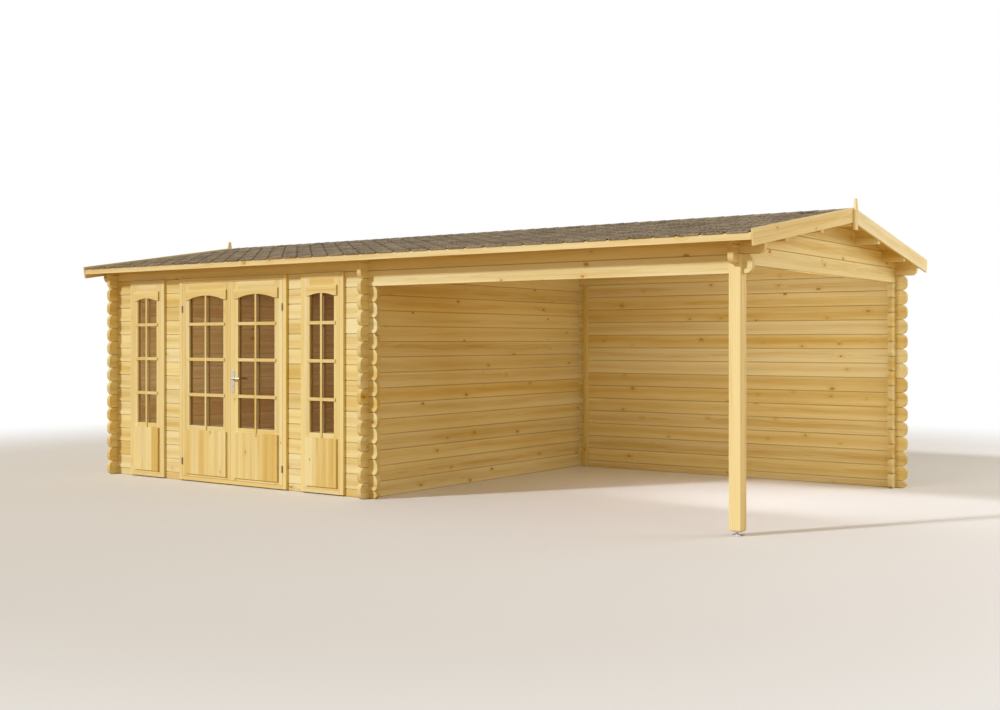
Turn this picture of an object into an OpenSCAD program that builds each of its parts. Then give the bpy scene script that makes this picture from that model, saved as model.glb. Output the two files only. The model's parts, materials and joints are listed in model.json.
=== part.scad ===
// Log summer house: a closed room with a double door, and an open veranda under one gable roof.
// Millimetres, +Z up. X runs along the ridge, the front faces -Y, the ground is at Z = 0.

/* [Plan] */
// Outer length of the closed room
room_length = 3490; // [3300:10:4600]
// Length of the veranda, from the partition to the right gable
veranda_length = 3460; // [1800:10:4600]
// Outer depth from the front wall to the back wall
depth = 3490; // [3000:10:4400]

/* [Logs] */
// Face height of one log
log_height = 136; // [130:1:150]
// Thickness of a log wall
log_thickness = 44; // [38:1:58]
// Full courses below the wall plate
courses = 14; // [14:1:16]
// How far log ends pass a crossing
log_end = 100; // [80:1:130]
// Rounding of the log end corners
end_radius = 52; // [10:1:60]
// Chamfer along the log edges
edge_chamfer = 4; // [1:0.5:8]
// Clearance between pieces that seat on each other
seat_gap = 0.3; // [0.2:0.05:0.5]

/* [Roof] */
// Rise of the roof for each unit of run
roof_slope_share = 0.16; // [0.12:0.0025:0.24]
// How much taller the wall plates are than a log
plate_extra = 8; // [0:1:30]
// Overhang past each gable
gable_overhang = 209; // [160:1:300]
// Overhang past the front and back walls
eave_overhang = 224; // [160:1:300]
// Thickness of the roof boarding
roof_board = 19; // [15:1:28]
// Thickness of the shingle layer
shingle_layer = 12; // [4:1:14]
// How far the shingles pass the fascia
shingle_drip = 8; // [2:1:20]
// Height of the eave fascia
fascia_height = 50; // [40:1:90]
// Thickness of the eave fascia
fascia_thickness = 18; // [14:1:28]
// Height of the barge boards, measured upright
barge_height = 120; // [100:1:160]
// Thickness of the barge boards
barge_thickness = 18; // [14:1:28]
// How far the barge boards stand above the shingles
barge_rise = 15; // [4:1:40]
// How far the barge boards' ends stand out past the fascias
barge_extra = 12; // [0:1:30]
// Width of a purlin
purlin_width = 58; // [40:1:80]
// Height of a purlin, measured upright at its middle
purlin_height = 100; // [80:1:115]
// Run from the ridge to the upper purlins
upper_purlin_run = 655; // [450:5:700]
// Run from the ridge to the lower purlins
lower_purlin_run = 1350; // [1100:5:1400]
// Width of the ridge finial
finial_width = 66; // [40:1:100]
// Thickness of the ridge finial
finial_thickness = 18; // [12:1:28]
// Height of the ridge finial
finial_height = 253; // [200:1:320]
// Height of the finial's tapered top
finial_point = 100; // [40:1:110]
// Width of the finial's blunt tip
finial_tip = 26; // [10:1:36]
// How far the finial stands above the barge boards
finial_rise = 71; // [30:1:110]

/* [Frames] */
// Width of the double door's frame
door_frame_width = 1474; // [1300:2:1500]
// Middle of the door from the left wall's outer face
door_middle = 1773; // [1765:1:1785]
// Width of a window's frame
window_frame_width = 520; // [440:2:560]
// Middle of the left window from the left wall's outer face
left_window_middle = 542; // [500:1:560]
// Middle of the right window from the left wall's outer face
right_window_middle = 2957; // [2940:1:2990]
// Middle of the right window from the partition's outer face, in the room that these places are set for
right_window_inset = 533; // [500:1:560]
// Visible width of a frame member
frame_face = 44; // [36:1:56]
// How far a frame stands proud of each wall face
frame_proud = 25; // [15:1:40]
// How far a frame laps over the log ends
frame_grip = 18; // [10:1:24]
// Height of the frames above the ground
frame_lift = 10; // [4:1:20]
// Height of a frame's sill
sill_height = 36; // [28:1:50]
// Width of the stop behind a leaf
stop_width = 14; // [10:1:20]

/* [Leaves] */
// Thickness of a door leaf and of a window sash
leaf_thickness = 40; // [34:1:46]
// Gap round a door leaf
leaf_gap = 5.5; // [5.2:0.1:8]
// Gap between the two door leaves
meeting_gap = 7; // [6.8:0.1:10]
// Width of a door leaf's stiles
door_stile = 98; // [80:1:110]
// Width of a window sash's stiles
sash_stile = 67; // [50:1:80]
// Height of the bottom rails
bottom_rail = 90; // [70:1:110]
// Height of the middle rails
middle_rail = 86; // [70:1:100]
// Height of the top rails
top_rail = 116; // [100:1:130]
// Lower edge of the glass above the ground
glass_foot = 546; // [480:1:620]
// Thickness of the glass
glass_thickness = 4; // [3:1:8]
// Depth of the glass behind a leaf's face
glass_depth = 22; // [12:1:26]
// Thickness of the raised panels
panel_thickness = 18; // [10:1:22]
// Side inset of a door leaf's boards
door_board_inset = 51; // [30:1:60]
// Side inset of a window sash's boards
sash_board_inset = 28; // [16:1:40]
// Margin below a raised panel
panel_margin = 23; // [14:1:40]
// How far a raised panel laps over the middle rail
panel_lap = 44; // [20:1:60]
// Thickness of the arched head boards
arch_thickness = 14; // [8:1:20]
// Height of the arched head boards
arch_height = 92; // [80:1:110]
// How far the arched head boards lap over the top rail
arch_lap = 50; // [44:1:70]
// Rise of the arch for each unit of glass width
arch_rise_share = 0.077; // [0.04:0.001:0.08]

/* [Door furniture] */
// Radius of a hinge barrel
hinge_radius = 6; // [5:0.5:6.5]
// Height of a hinge barrel
hinge_height = 60; // [40:1:80]
// Radius of a hinge pin
hinge_pin_radius = 3; // [2:0.1:3.5]
// Running clearance of a hinge pin
pin_clearance = 0.1; // [0.05:0.01:0.15]
// Width of a hinge flag
hinge_flag = 10; // [8:1:28]
// Thickness of a hinge flag
hinge_flag_thickness = 2; // [1.5:0.1:3]
// Middle of the upper hinges above the ground
upper_hinge = 1676; // [1500:1:1740]
// Middle of the lower hinges above the ground
lower_hinge = 194; // [150:1:300]
// Width of a handle plate
plate_width = 40; // [34:1:44]
// Height of a handle plate
plate_height = 217; // [180:1:240]
// Thickness of a handle plate
plate_thickness = 3; // [2:0.5:5]
// Lever's spindle from the leaf's edge
lever_backset = 30; // [26:1:40]
// Lever's spindle above the ground
lever_level = 1012; // [900:1:1100]
// Plate's middle below the spindle
plate_drop = 30; // [10:1:60]
// Length of a lever
lever_length = 125; // [100:1:140]
// Radius of a lever's grip
lever_radius = 9; // [6:0.5:11]
// Distance of a lever's grip from its plate
lever_reach = 38; // [30:1:50]
// Radius of a lever's neck
neck_radius = 8; // [6:0.5:10]
// Half width of the spindle
spindle_half = 4; // [3:0.5:5]
// Radius of the spindle's bore
spindle_bore = 8; // [7:0.5:10]

/* [Veranda] */
// Side of the square post
post_side = 96; // [80:1:120]
// Height of the post's foot
foot_height = 33; // [25:1:60]
// Side of the foot's plates
foot_plate = 80; // [60:1:96]
// Thickness of the foot's plates
foot_plate_thickness = 5; // [3:1:8]
// Radius of the foot's stud
foot_stud_radius = 9; // [6:0.5:14]
// Width of the batten over the back wall's joint
batten_width = 45; // [30:1:60]
// Thickness of the batten
batten_thickness = 40; // [20:1:50]

/* [Floor] */
// Thickness of the floor boarding
floor_board = 19; // [16:1:28]
// Height of a floor bearer
bearer_height = 40; // [30:1:60]
// Width of a floor bearer
bearer_width = 60; // [40:1:90]
// Number of floor bearers
bearers = 6; // [4:1:9]
// Gap between the floor and the walls
floor_gap = 6; // [3:1:15]

/* [Hidden] */
// Facets of a full turn
$fn = 48;
// Overrun of every cut
overrun = 5;
// Overall wall length
wall_length = room_length + veranda_length;
// Outer faces of the walls
x_left = -wall_length / 2;
x_right = wall_length / 2;
x_partition = x_left + room_length;
y_front = -depth / 2;
y_back = depth / 2;
// Levels of the log walls
opening_top = (courses + 1 / 2) * log_height;
beam_bottom = courses * log_height;
plate_top = opening_top + log_height + plate_extra;
gable_foot = beam_bottom + log_height;
// Middle of the post, under the crossing of the header and the gable's beam
x_post = x_right - log_thickness / 2;
y_post = y_front + log_thickness / 2;
// Depth of a crossing notch
notch = log_height / 4;
// Roof levels, measured upright
underside_at_wall = plate_top;
slope_length_share = sqrt(1 + roof_slope_share * roof_slope_share);
board_rise = roof_board * slope_length_share;
shingle_rise = shingle_layer * slope_length_share;
// Ends of the roof boarding and of the barge boards
roof_reach = wall_length / 2 + gable_overhang - barge_thickness;
eave_reach = depth / 2 + eave_overhang;
// Frame faces
frame_front = y_front - frame_proud;
frame_back = y_front + log_thickness + frame_proud;
// Wall length for the frames and the crossing walls, and the share of the set wall pieces that the room leaves
set_room = right_window_middle + right_window_inset;
front_taken = 2 * log_thickness + 2 * window_frame_width + door_frame_width;
front_share = (room_length - front_taken) / (set_room - front_taken);
// Wall pieces left of the left window and on both sides of the door
pair_half = (door_frame_width + window_frame_width) / 2;
wall_piece_left = (left_window_middle - window_frame_width / 2 - log_thickness) * front_share;
wall_piece_door_left = (door_middle - left_window_middle - pair_half) * front_share;
wall_piece_door_right = (right_window_middle - door_middle - pair_half) * front_share;
// Middles of the openings
x_left_window = x_left + log_thickness + wall_piece_left + window_frame_width / 2;
x_door = x_left_window + wall_piece_door_left + pair_half;
x_right_window = x_door + wall_piece_door_right + pair_half;
// Door leaf and sash sizes
leaf_foot = frame_lift + sill_height + leaf_gap;
leaf_top = opening_top - frame_face - leaf_gap;
leaf_width = (door_frame_width - 2 * frame_face - 2 * leaf_gap - meeting_gap) / 2;
stop_front = frame_front + leaf_thickness + leaf_gap;
sash_foot = frame_lift + sill_height + seat_gap;
sash_top = opening_top - frame_face - seat_gap;
sash_width = window_frame_width - 2 * frame_face - 2 * seat_gap;
sash_stop_front = frame_front + leaf_thickness + seat_gap;
// Hinge axes, far enough out for the barrels to clear the faces
hinge_offset = hinge_radius + hinge_flag_thickness / 2;
y_hinge = frame_front - hinge_offset;
x_left_hinge = x_door - door_frame_width / 2 + frame_face + leaf_gap / 2;
x_right_hinge = x_door + door_frame_width / 2 - frame_face - leaf_gap / 2;
x_lever = x_door + meeting_gap / 2 + lever_backset;
// Back wall joint
x_joint = x_partition + log_end;
// Floor
floor_top = bearer_height + floor_board;

// Underside of the roof boarding at a place across the depth
function underside(y) = underside_at_wall + (depth / 2 - abs(y)) * roof_slope_share;

// Lower face of a log: on the ground, or half a clearance above the log below
function seat_level(low) = low > 0 ? low + seat_gap / 2 : 0;

// Section of a log: thickness along the first axis, height along the second
module log_section(low, high) {
  polygon([[edge_chamfer, low], [log_thickness - edge_chamfer, low],
           [log_thickness, low + edge_chamfer], [log_thickness, high - edge_chamfer],
           [log_thickness - edge_chamfer, high], [edge_chamfer, high],
           [0, high - edge_chamfer], [0, low + edge_chamfer]]);
}

// Waste outside a rounded log end, for an end that faces the first axis, at its lower and upper edges
module end_waste(low, high, edges = [-1, 1]) {
  for (side = edges)
    translate([0, side > 0 ? high : low])
      difference() {
        translate([-end_radius, side > 0 ? -end_radius : -overrun])
          square([end_radius + overrun, end_radius + overrun]);
        translate([-end_radius, -side * end_radius])
          circle(r = end_radius);
      }
}

// Log along X with its front face at y, between two ends, with notches at the given places
module log_x(y, from, to, low, high, top_notches = [], bottom_notches = [],
             round_from = false, round_to = false) {
  difference() {
    translate([from, y, 0])
      rotate([90, 0, 90])
        linear_extrude(to - from)
          log_section(seat_level(low), high - seat_gap / 2);
    for (x = top_notches)
      translate([x - seat_gap, y - overrun, high - notch - seat_gap / 2])
        cube([log_thickness + 2 * seat_gap, log_thickness + 2 * overrun, notch + overrun]);
    for (x = bottom_notches)
      translate([x - seat_gap, y - overrun, low - overrun])
        cube([log_thickness + 2 * seat_gap, log_thickness + 2 * overrun, notch + overrun + seat_gap / 2]);
    if (round_to)
      translate([to, y + log_thickness + overrun, 0])
        rotate([90, 0, 0])
          linear_extrude(log_thickness + 2 * overrun)
            end_waste(low, high);
    if (round_from)
      translate([from, y - overrun, 0])
        rotate([90, 0, 180])
          linear_extrude(log_thickness + 2 * overrun)
            end_waste(low, high);
  }
}

// Log along Y with its left face at x, between two ends, with notches at the given places
module log_y(x, from, to, low, high, top_notches = [], bottom_notches = [],
             round_from = true, round_to = true, edges = [-1, 1]) {
  difference() {
    translate([x, to, 0])
      rotate([90, 0, 0])
        linear_extrude(to - from)
          log_section(seat_level(low), high - seat_gap / 2);
    for (y = top_notches)
      translate([x - overrun, y - seat_gap, high - notch - seat_gap / 2])
        cube([log_thickness + 2 * overrun, log_thickness + 2 * seat_gap, notch + overrun]);
    for (y = bottom_notches)
      translate([x - overrun, y - seat_gap, low - overrun])
        cube([log_thickness + 2 * overrun, log_thickness + 2 * seat_gap, notch + overrun + seat_gap / 2]);
    if (round_to)
      translate([x - overrun, to, 0])
        rotate([90, 0, 90])
          linear_extrude(log_thickness + 2 * overrun)
            end_waste(low, high, edges);
    if (round_from)
      translate([x + log_thickness + overrun, from, 0])
        rotate([90, 0, -90])
          linear_extrude(log_thickness + 2 * overrun)
            end_waste(low, high, edges);
  }
}

// Levels of the courses: logs along X start with a half log, logs along Y with a full one
function x_low(course) = max(0, (course - 1 / 2) * log_height);
function x_high(course) = (course + 1 / 2) * log_height;
function y_low(course) = course * log_height;
function y_high(course) = (course + 1) * log_height;

// Courses of a wall along X
module wall_x(y, from, to, crossings, round_from, round_to, last) {
  for (course = [0 : last])
    log_x(y, from, to, x_low(course), x_high(course), crossings,
          course == 0 ? [] : crossings, round_from, round_to);
}

// Log that carries a gable, rounded at the lower edge of its ends alone
module gable_beam(x) {
  log_y(x, y_front - log_end, y_back + log_end, beam_bottom, gable_foot,
        [y_front, y_back - log_thickness], [y_front, y_back - log_thickness], true, true, [-1]);
}

// Courses of a full-depth wall along Y, up to and with the log that carries the gable
module wall_y(x) {
  for (course = [0 : courses - 1])
    log_y(x, y_front - log_end, y_back + log_end, y_low(course), y_high(course),
          [y_front, y_back - log_thickness], [y_front, y_back - log_thickness]);
  gable_beam(x);
}

// Outline of a purlin in the depth, grown by a clearance
module purlin_outline(run, grow) {
  half = purlin_width / 2 + grow;
  foot = underside(run) - purlin_height - grow;
  polygon([[run - half, foot], [run + half, foot], [run + half, underside(run + half) - seat_gap + grow],
           [run, underside(run) - seat_gap + grow],
           [run - half, underside(run - half) - seat_gap + grow]]);
}

// Logs of a gable, cut to the roof and let in for the purlins; the lowest one crosses the wall plates
module gable_logs(x) {
  inner = depth / 2 - log_thickness - seat_gap;
  outer = depth / 2 + log_end;
  for (course = [courses + 1 : courses + 1 + ceil((underside(0) - gable_foot) / log_height)])
    if (underside(0) - y_low(course) > log_height / 4) {
      lowest = course == courses + 1;
      reach = lowest ? outer : inner;
      plates = lowest ? [y_front, y_back - log_thickness] : [];
      intersection() {
        log_y(x, -reach, reach, y_low(course), y_high(course), [], plates, false, false);
        translate([x - overrun, 0, 0])
          rotate([90, 0, 90])
            linear_extrude(log_thickness + 2 * overrun)
              difference() {
                polygon([[-outer, beam_bottom], [outer, beam_bottom], [outer, underside(outer) - seat_gap],
                         [0, underside(0) - seat_gap], [-outer, underside(outer) - seat_gap]]);
                for (run = [-lower_purlin_run, -upper_purlin_run, 0, upper_purlin_run, lower_purlin_run])
                  purlin_outline(run, seat_gap);
              }
      }
    }
}

module left_wall() {
  color("BurlyWood") {
    wall_y(x_left);
    gable_logs(x_left);
  }
}

module partition_wall() {
  color("BurlyWood") {
    wall_y(x_partition - log_thickness);
    gable_logs(x_partition - log_thickness);
  }
}

module right_gable() {
  color("BurlyWood") {
    gable_beam(x_right - log_thickness);
    gable_logs(x_right - log_thickness);
  }
}

module corner_stubs() {
  color("BurlyWood")
    for (course = [0 : courses - 1])
      log_y(x_right - log_thickness, y_back - log_thickness - log_end, y_back + log_end,
            y_low(course), y_high(course), [y_back - log_thickness], [y_back - log_thickness]);
}

// Places where the logs end inside the frames
function grip_left(middle, width) = middle - width / 2 + frame_grip - seat_gap;
function grip_right(middle, width) = middle + width / 2 - frame_grip + seat_gap;

module front_wall_left() {
  color("BurlyWood")
    wall_x(y_front, x_left - log_end, grip_left(x_left_window, window_frame_width), [x_left],
           true, false, courses);
}

module front_wall_door_left() {
  color("BurlyWood")
    wall_x(y_front, grip_right(x_left_window, window_frame_width), grip_left(x_door, door_frame_width), [],
           false, false, courses);
}

module front_wall_door_right() {
  color("BurlyWood")
    wall_x(y_front, grip_right(x_door, door_frame_width), grip_left(x_right_window, window_frame_width), [],
           false, false, courses);
}

module front_wall_right() {
  color("BurlyWood")
    wall_x(y_front, grip_right(x_right_window, window_frame_width), x_partition + log_end,
           [x_partition - log_thickness], false, true, courses - 1);
}

module veranda_header() {
  crossings = [x_partition - log_thickness, x_right - log_thickness];
  color("BurlyWood")
    log_x(y_front, grip_right(x_right_window, window_frame_width), x_right + log_end,
          x_low(courses), x_high(courses), crossings, [x_partition - log_thickness], false, true);
}

// Wall plate: the top log, planed to the roof's slope and long enough to carry the overhangs
module wall_plate(y, rear) {
  reach = roof_reach - seat_gap;
  crossings = [x_left, x_partition - log_thickness, x_right - log_thickness];
  lift = log_thickness * roof_slope_share;
  plate_foot = opening_top + seat_gap / 2;
  difference() {
    translate([-reach, y, 0])
      rotate([90, 0, 90])
        linear_extrude(2 * reach)
          polygon([[edge_chamfer, plate_foot], [log_thickness - edge_chamfer, plate_foot],
                   [log_thickness, plate_foot + edge_chamfer],
                   [log_thickness, plate_top - seat_gap + (rear ? 0 : lift)],
                   [0, plate_top - seat_gap + (rear ? lift : 0)], [0, plate_foot + edge_chamfer]]);
    for (x = crossings) {
      translate([x - seat_gap, y - overrun, opening_top - overrun])
        cube([log_thickness + 2 * seat_gap, log_thickness + 2 * overrun, notch + overrun + seat_gap / 2]);
      translate([x - seat_gap, y - overrun, gable_foot + notch - seat_gap / 2])
        cube([log_thickness + 2 * seat_gap, log_thickness + 2 * overrun, log_height]);
    }
    for (side = [0, 180])
      rotate([0, 0, side])
        translate([reach, (side > 0 ? -y : y + log_thickness) + overrun, 0])
          rotate([90, 0, 0])
            linear_extrude(log_thickness + 2 * overrun)
              translate([-end_radius, opening_top])
                difference() {
                  translate([0, -overrun])
                    square([end_radius + overrun, end_radius + overrun]);
                  translate([0, end_radius])
                    circle(r = end_radius);
                }
  }
}

module front_plate() {
  color("BurlyWood")
    wall_plate(y_front, false);
}

module back_plate() {
  color("BurlyWood")
    wall_plate(y_back - log_thickness, true);
}

module back_wall_room() {
  color("BurlyWood")
    wall_x(y_back - log_thickness, x_left - log_end, x_joint, [x_left, x_partition - log_thickness],
           true, false, courses);
}

module back_wall_veranda() {
  color("BurlyWood")
    wall_x(y_back - log_thickness, x_joint + seat_gap, x_right + log_end, [x_right - log_thickness],
           false, true, courses);
}

module joint_batten() {
  color("BurlyWood")
    translate([x_joint - batten_width / 2, y_back - log_thickness - batten_thickness - seat_gap, 0])
      cube([batten_width, batten_thickness, opening_top]);
}

// Square post with a crossed slot in its head for the header and the gable's beam
module veranda_post() {
  slot = log_thickness + 2 * seat_gap;
  span = post_side + 2 * overrun;
  header_foot = opening_top - log_height - seat_gap / 2;
  beam_foot = beam_bottom - seat_gap / 2;
  color("BurlyWood")
    difference() {
      translate([x_post - post_side / 2, y_post - post_side / 2, foot_height + seat_gap])
        cube([post_side, post_side, opening_top - foot_height - 2 * seat_gap]);
      translate([x_post - span / 2, y_post - slot / 2, header_foot])
        cube([span, slot, log_height + overrun]);
      translate([x_post - slot / 2, y_post - span / 2, beam_foot])
        cube([slot, span, log_height + overrun]);
    }
}

module post_foot() {
  color("Silver")
    translate([x_post - foot_plate / 2, y_post - foot_plate / 2, 0]) {
      cube([foot_plate, foot_plate, foot_plate_thickness]);
      translate([foot_plate / 2, foot_plate / 2, 0])
        cylinder(r = foot_stud_radius, h = foot_height);
      translate([0, 0, foot_height - foot_plate_thickness])
        cube([foot_plate, foot_plate, foot_plate_thickness]);
    }
}

// Room floor between the inner faces of the walls, clear of the frames
floor_left = x_left + log_thickness + floor_gap;
floor_right = x_partition - log_thickness - floor_gap;
floor_front = frame_back + floor_gap;
floor_back = y_back - log_thickness - floor_gap;

module floor_bearers() {
  step = (floor_back - floor_front - bearer_width) / (bearers - 1);
  from = x_left + log_thickness + seat_gap;
  to = x_partition - log_thickness - seat_gap;
  color("Peru")
    for (i = [0 : bearers - 1])
      translate([from, floor_front + i * step, 0])
        cube([to - from, bearer_width, bearer_height]);
}

module room_floor() {
  color("BurlyWood")
    translate([floor_left, floor_front, bearer_height + seat_gap])
      cube([floor_right - floor_left, floor_back - floor_front, floor_board]);
}

// Purlin between the barge boards
module purlin(run) {
  reach = roof_reach - seat_gap;
  translate([-reach, 0, 0])
    rotate([90, 0, 90])
      linear_extrude(2 * reach)
        purlin_outline(run, 0);
}

module ridge_purlin() {
  color("BurlyWood")
    purlin(0);
}

module side_purlins() {
  color("BurlyWood")
    for (run = [-lower_purlin_run, -upper_purlin_run, upper_purlin_run, lower_purlin_run])
      purlin(run);
}

// Layer of the front roof slope from the ridge to a reach, a rise above the underside
module roof_layer(reach, low, high, length) {
  translate([-length / 2, 0, 0])
    rotate([90, 0, 90])
      linear_extrude(length)
        polygon([[-reach, underside(reach) + low], [-seat_gap / 2, underside(0) + low],
                 [-seat_gap / 2, underside(0) + high], [-reach, underside(reach) + high]]);
}

module roof_boards_front() {
  color("BurlyWood")
    roof_layer(eave_reach - fascia_thickness - seat_gap, 0, board_rise, 2 * roof_reach - 2 * seat_gap);
}

module roof_boards_rear() {
  color("BurlyWood")
    mirror([0, 1, 0])
      roof_layer(eave_reach - fascia_thickness - seat_gap, 0, board_rise, 2 * roof_reach - 2 * seat_gap);
}

module shingles_front() {
  color("DimGray")
    roof_layer(eave_reach + shingle_drip, board_rise + seat_gap, board_rise + seat_gap + shingle_rise,
               2 * roof_reach - 2 * seat_gap);
}

module shingles_rear() {
  color("DimGray")
    mirror([0, 1, 0])
      roof_layer(eave_reach + shingle_drip, board_rise + seat_gap, board_rise + seat_gap + shingle_rise,
                 2 * roof_reach - 2 * seat_gap);
}

// Eave board on the ends of the roof boarding, its top planed to the slope
module fascia(side) {
  top = underside(eave_reach) + board_rise;
  lift = fascia_thickness * roof_slope_share;
  inner = eave_reach - fascia_thickness;
  length = 2 * roof_reach - 2 * seat_gap;
  translate([-length / 2, 0, 0])
    rotate([90, 0, 90])
      linear_extrude(length)
        polygon([[side * eave_reach, top - fascia_height], [side * inner, top - fascia_height],
                 [side * inner, top + lift], [side * eave_reach, top]]);
}

module fascia_boards() {
  color("BurlyWood") {
    fascia(-1);
    fascia(1);
  }
}

// Pair of barge boards that meet at the ridge, with end cuts square to the slope
module barge_pair(x) {
  high = board_rise + seat_gap + shingle_rise + barge_rise;
  low = high - barge_height;
  head_reach = eave_reach + barge_extra;
  foot_reach = head_reach - barge_height * roof_slope_share / (slope_length_share * slope_length_share);
  for (side = [-1, 1])
    translate([x, 0, 0])
      rotate([90, 0, 90])
        linear_extrude(barge_thickness)
          polygon([[side * foot_reach, underside(foot_reach) + low], [side * seat_gap / 2, underside(0) + low],
                   [side * seat_gap / 2, underside(0) + high],
                   [side * head_reach, underside(head_reach) + high]]);
}

module left_barge_boards() {
  color("BurlyWood")
    barge_pair(-roof_reach - barge_thickness);
}

module right_barge_boards() {
  color("BurlyWood")
    barge_pair(roof_reach);
}

// Tapered board on the meeting of the barge boards
module finial(x) {
  top = underside(0) + board_rise + seat_gap + shingle_rise + barge_rise + finial_rise;
  half = finial_width / 2;
  translate([x, 0, 0])
    rotate([90, 0, 90])
      linear_extrude(finial_thickness)
        polygon([[-half, top - finial_height], [half, top - finial_height], [half, top - finial_point],
                 [finial_tip / 2, top], [-finial_tip / 2, top], [-half, top - finial_point]]);
}

module finials() {
  color("BurlyWood") {
    finial(roof_reach + barge_thickness + seat_gap);
    finial(-roof_reach - barge_thickness - seat_gap - finial_thickness);
  }
}

// Section of a left jamb from its outer edge: it grips the log ends and stops the leaf
module jamb_section(stop) {
  polygon([[0, frame_front], [frame_face, frame_front], [frame_face, stop], [frame_face + stop_width, stop],
           [frame_face + stop_width, frame_back], [0, frame_back],
           [0, y_front + log_thickness + seat_gap], [frame_grip, y_front + log_thickness + seat_gap],
           [frame_grip, y_front - seat_gap], [0, y_front - seat_gap]]);
}

// Head or sill of a frame between the jambs: a front part up to the stop and a wider part behind it
module frame_rail(middle, width, stop, low, high, stop_low, stop_high) {
  front = width - 2 * frame_face - 2 * seat_gap;
  rear = front - 2 * stop_width;
  translate([middle - front / 2, frame_front, low])
    cube([front, stop - frame_front - seat_gap, high - low]);
  translate([middle - rear / 2, frame_front, low])
    cube([rear, frame_back - frame_front, high - low]);
  translate([middle - rear / 2, stop, stop_low])
    cube([rear, frame_back - stop, stop_high - stop_low]);
}

// Frame of two jambs, a head and a sill
module opening_frame(middle, width, stop) {
  top = opening_top - seat_gap / 2;
  sill_top = frame_lift + sill_height;
  for (side = [0, 1])
    translate([middle, 0, 0])
      mirror([side, 0, 0])
        translate([-width / 2, 0, frame_lift])
          linear_extrude(top - frame_lift)
            jamb_section(stop);
  frame_rail(middle, width, stop, top - frame_face, top, top - frame_face - stop_width, top);
  frame_rail(middle, width, stop, frame_lift, sill_top, frame_lift, sill_top + stop_width);
}

module door_frame() {
  color("Wheat")
    opening_frame(x_door, door_frame_width, stop_front);
}

module window_frames() {
  color("Wheat") {
    opening_frame(x_left_window, window_frame_width, sash_stop_front);
    opening_frame(x_right_window, window_frame_width, sash_stop_front);
  }
}

// Joined stiles and rails of a leaf or sash from its left lower corner
module leaf_bars(left, width, foot, top, stile) {
  rail = width - 2 * stile - 2 * seat_gap;
  translate([left, frame_front, foot])
    cube([stile, leaf_thickness, top - foot]);
  translate([left + width - stile, frame_front, foot])
    cube([stile, leaf_thickness, top - foot]);
  translate([left + stile + seat_gap, frame_front, 0]) {
    translate([0, 0, foot])
      cube([rail, leaf_thickness, bottom_rail]);
    translate([0, 0, glass_foot - middle_rail])
      cube([rail, leaf_thickness, middle_rail]);
    translate([0, 0, top - top_rail])
      cube([rail, leaf_thickness, top_rail]);
  }
}

// Raised panel and arched head board on the face of a leaf or sash
module leaf_boards(left, width, foot, top, stile, inset) {
  glass_width = width - 2 * stile;
  rise = glass_width * arch_rise_share;
  radius = (glass_width * glass_width / 4 + rise * rise) / (2 * rise);
  board = width - 2 * inset;
  head = top - top_rail + arch_lap;
  translate([left + inset, frame_front - panel_thickness - seat_gap, foot + panel_margin])
    cube([board, panel_thickness, glass_foot - middle_rail + panel_lap - foot - panel_margin]);
  translate([left + inset, frame_front - seat_gap, 0])
    rotate([90, 0, 0])
      linear_extrude(arch_thickness)
        difference() {
          translate([0, head - arch_height])
            square([board, arch_height]);
          translate([board / 2, head - arch_height + rise - radius])
            circle(r = radius, $fn = 180);
        }
}

module leaf_glass(left, width, top, stile) {
  translate([left + stile + seat_gap, frame_front + glass_depth, glass_foot + seat_gap])
    cube([width - 2 * stile - 2 * seat_gap, glass_thickness, top - top_rail - glass_foot - 2 * seat_gap]);
}

left_leaf_edge = x_left_hinge + leaf_gap / 2;
right_leaf_edge = x_door + meeting_gap / 2;

module window_sashes() {
  color("Wheat")
    for (middle = [x_left_window, x_right_window])
      leaf_bars(middle - sash_width / 2, sash_width, sash_foot, sash_top, sash_stile);
}

module window_boards() {
  color("Wheat")
    for (middle = [x_left_window, x_right_window])
      leaf_boards(middle - sash_width / 2, sash_width, sash_foot, sash_top, sash_stile, sash_board_inset);
}

module window_glass() {
  color("LightBlue", 0.4)
    for (middle = [x_left_window, x_right_window])
      leaf_glass(middle - sash_width / 2, sash_width, sash_top, sash_stile);
}

module left_leaf() {
  color("Wheat")
    leaf_bars(left_leaf_edge, leaf_width, leaf_foot, leaf_top, door_stile);
}

module left_leaf_boards() {
  color("Wheat")
    leaf_boards(left_leaf_edge, leaf_width, leaf_foot, leaf_top, door_stile, door_board_inset);
}

module left_leaf_glass() {
  color("LightBlue", 0.4)
    leaf_glass(left_leaf_edge, leaf_width, leaf_top, door_stile);
}

module right_leaf() {
  color("Wheat")
    difference() {
      leaf_bars(right_leaf_edge, leaf_width, leaf_foot, leaf_top, door_stile);
      translate([x_lever, frame_front - overrun, lever_level])
        rotate([-90, 0, 0])
          cylinder(r = spindle_bore, h = leaf_thickness + 2 * overrun);
    }
}

module right_leaf_boards() {
  color("Wheat")
    leaf_boards(right_leaf_edge, leaf_width, leaf_foot, leaf_top, door_stile, door_board_inset);
}

module right_leaf_glass() {
  color("LightBlue", 0.4)
    leaf_glass(right_leaf_edge, leaf_width, leaf_top, door_stile);
}

// Flag of a hinge half: from the axis to one side, flat on the leaf or on the frame
module hinge_half(side, low) {
  height = hinge_height / 2 - seat_gap / 2;
  translate([0, 0, low])
    cylinder(r = hinge_radius, h = height);
  translate([side < 0 ? -hinge_flag : 0, hinge_offset - hinge_flag_thickness - seat_gap, low])
    cube([hinge_flag, hinge_flag_thickness, height]);
}

module frame_hinges() {
  pin = hinge_height / 3;
  color("DimGray")
    for (level = [upper_hinge, lower_hinge])
      for (side = [-1, 1])
        translate([side < 0 ? x_left_hinge : x_right_hinge, y_hinge, level]) {
          hinge_half(side, -hinge_height / 2);
          translate([0, 0, -hinge_height / 2])
            cylinder(r = hinge_pin_radius, h = hinge_height / 2 + pin);
        }
}

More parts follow.
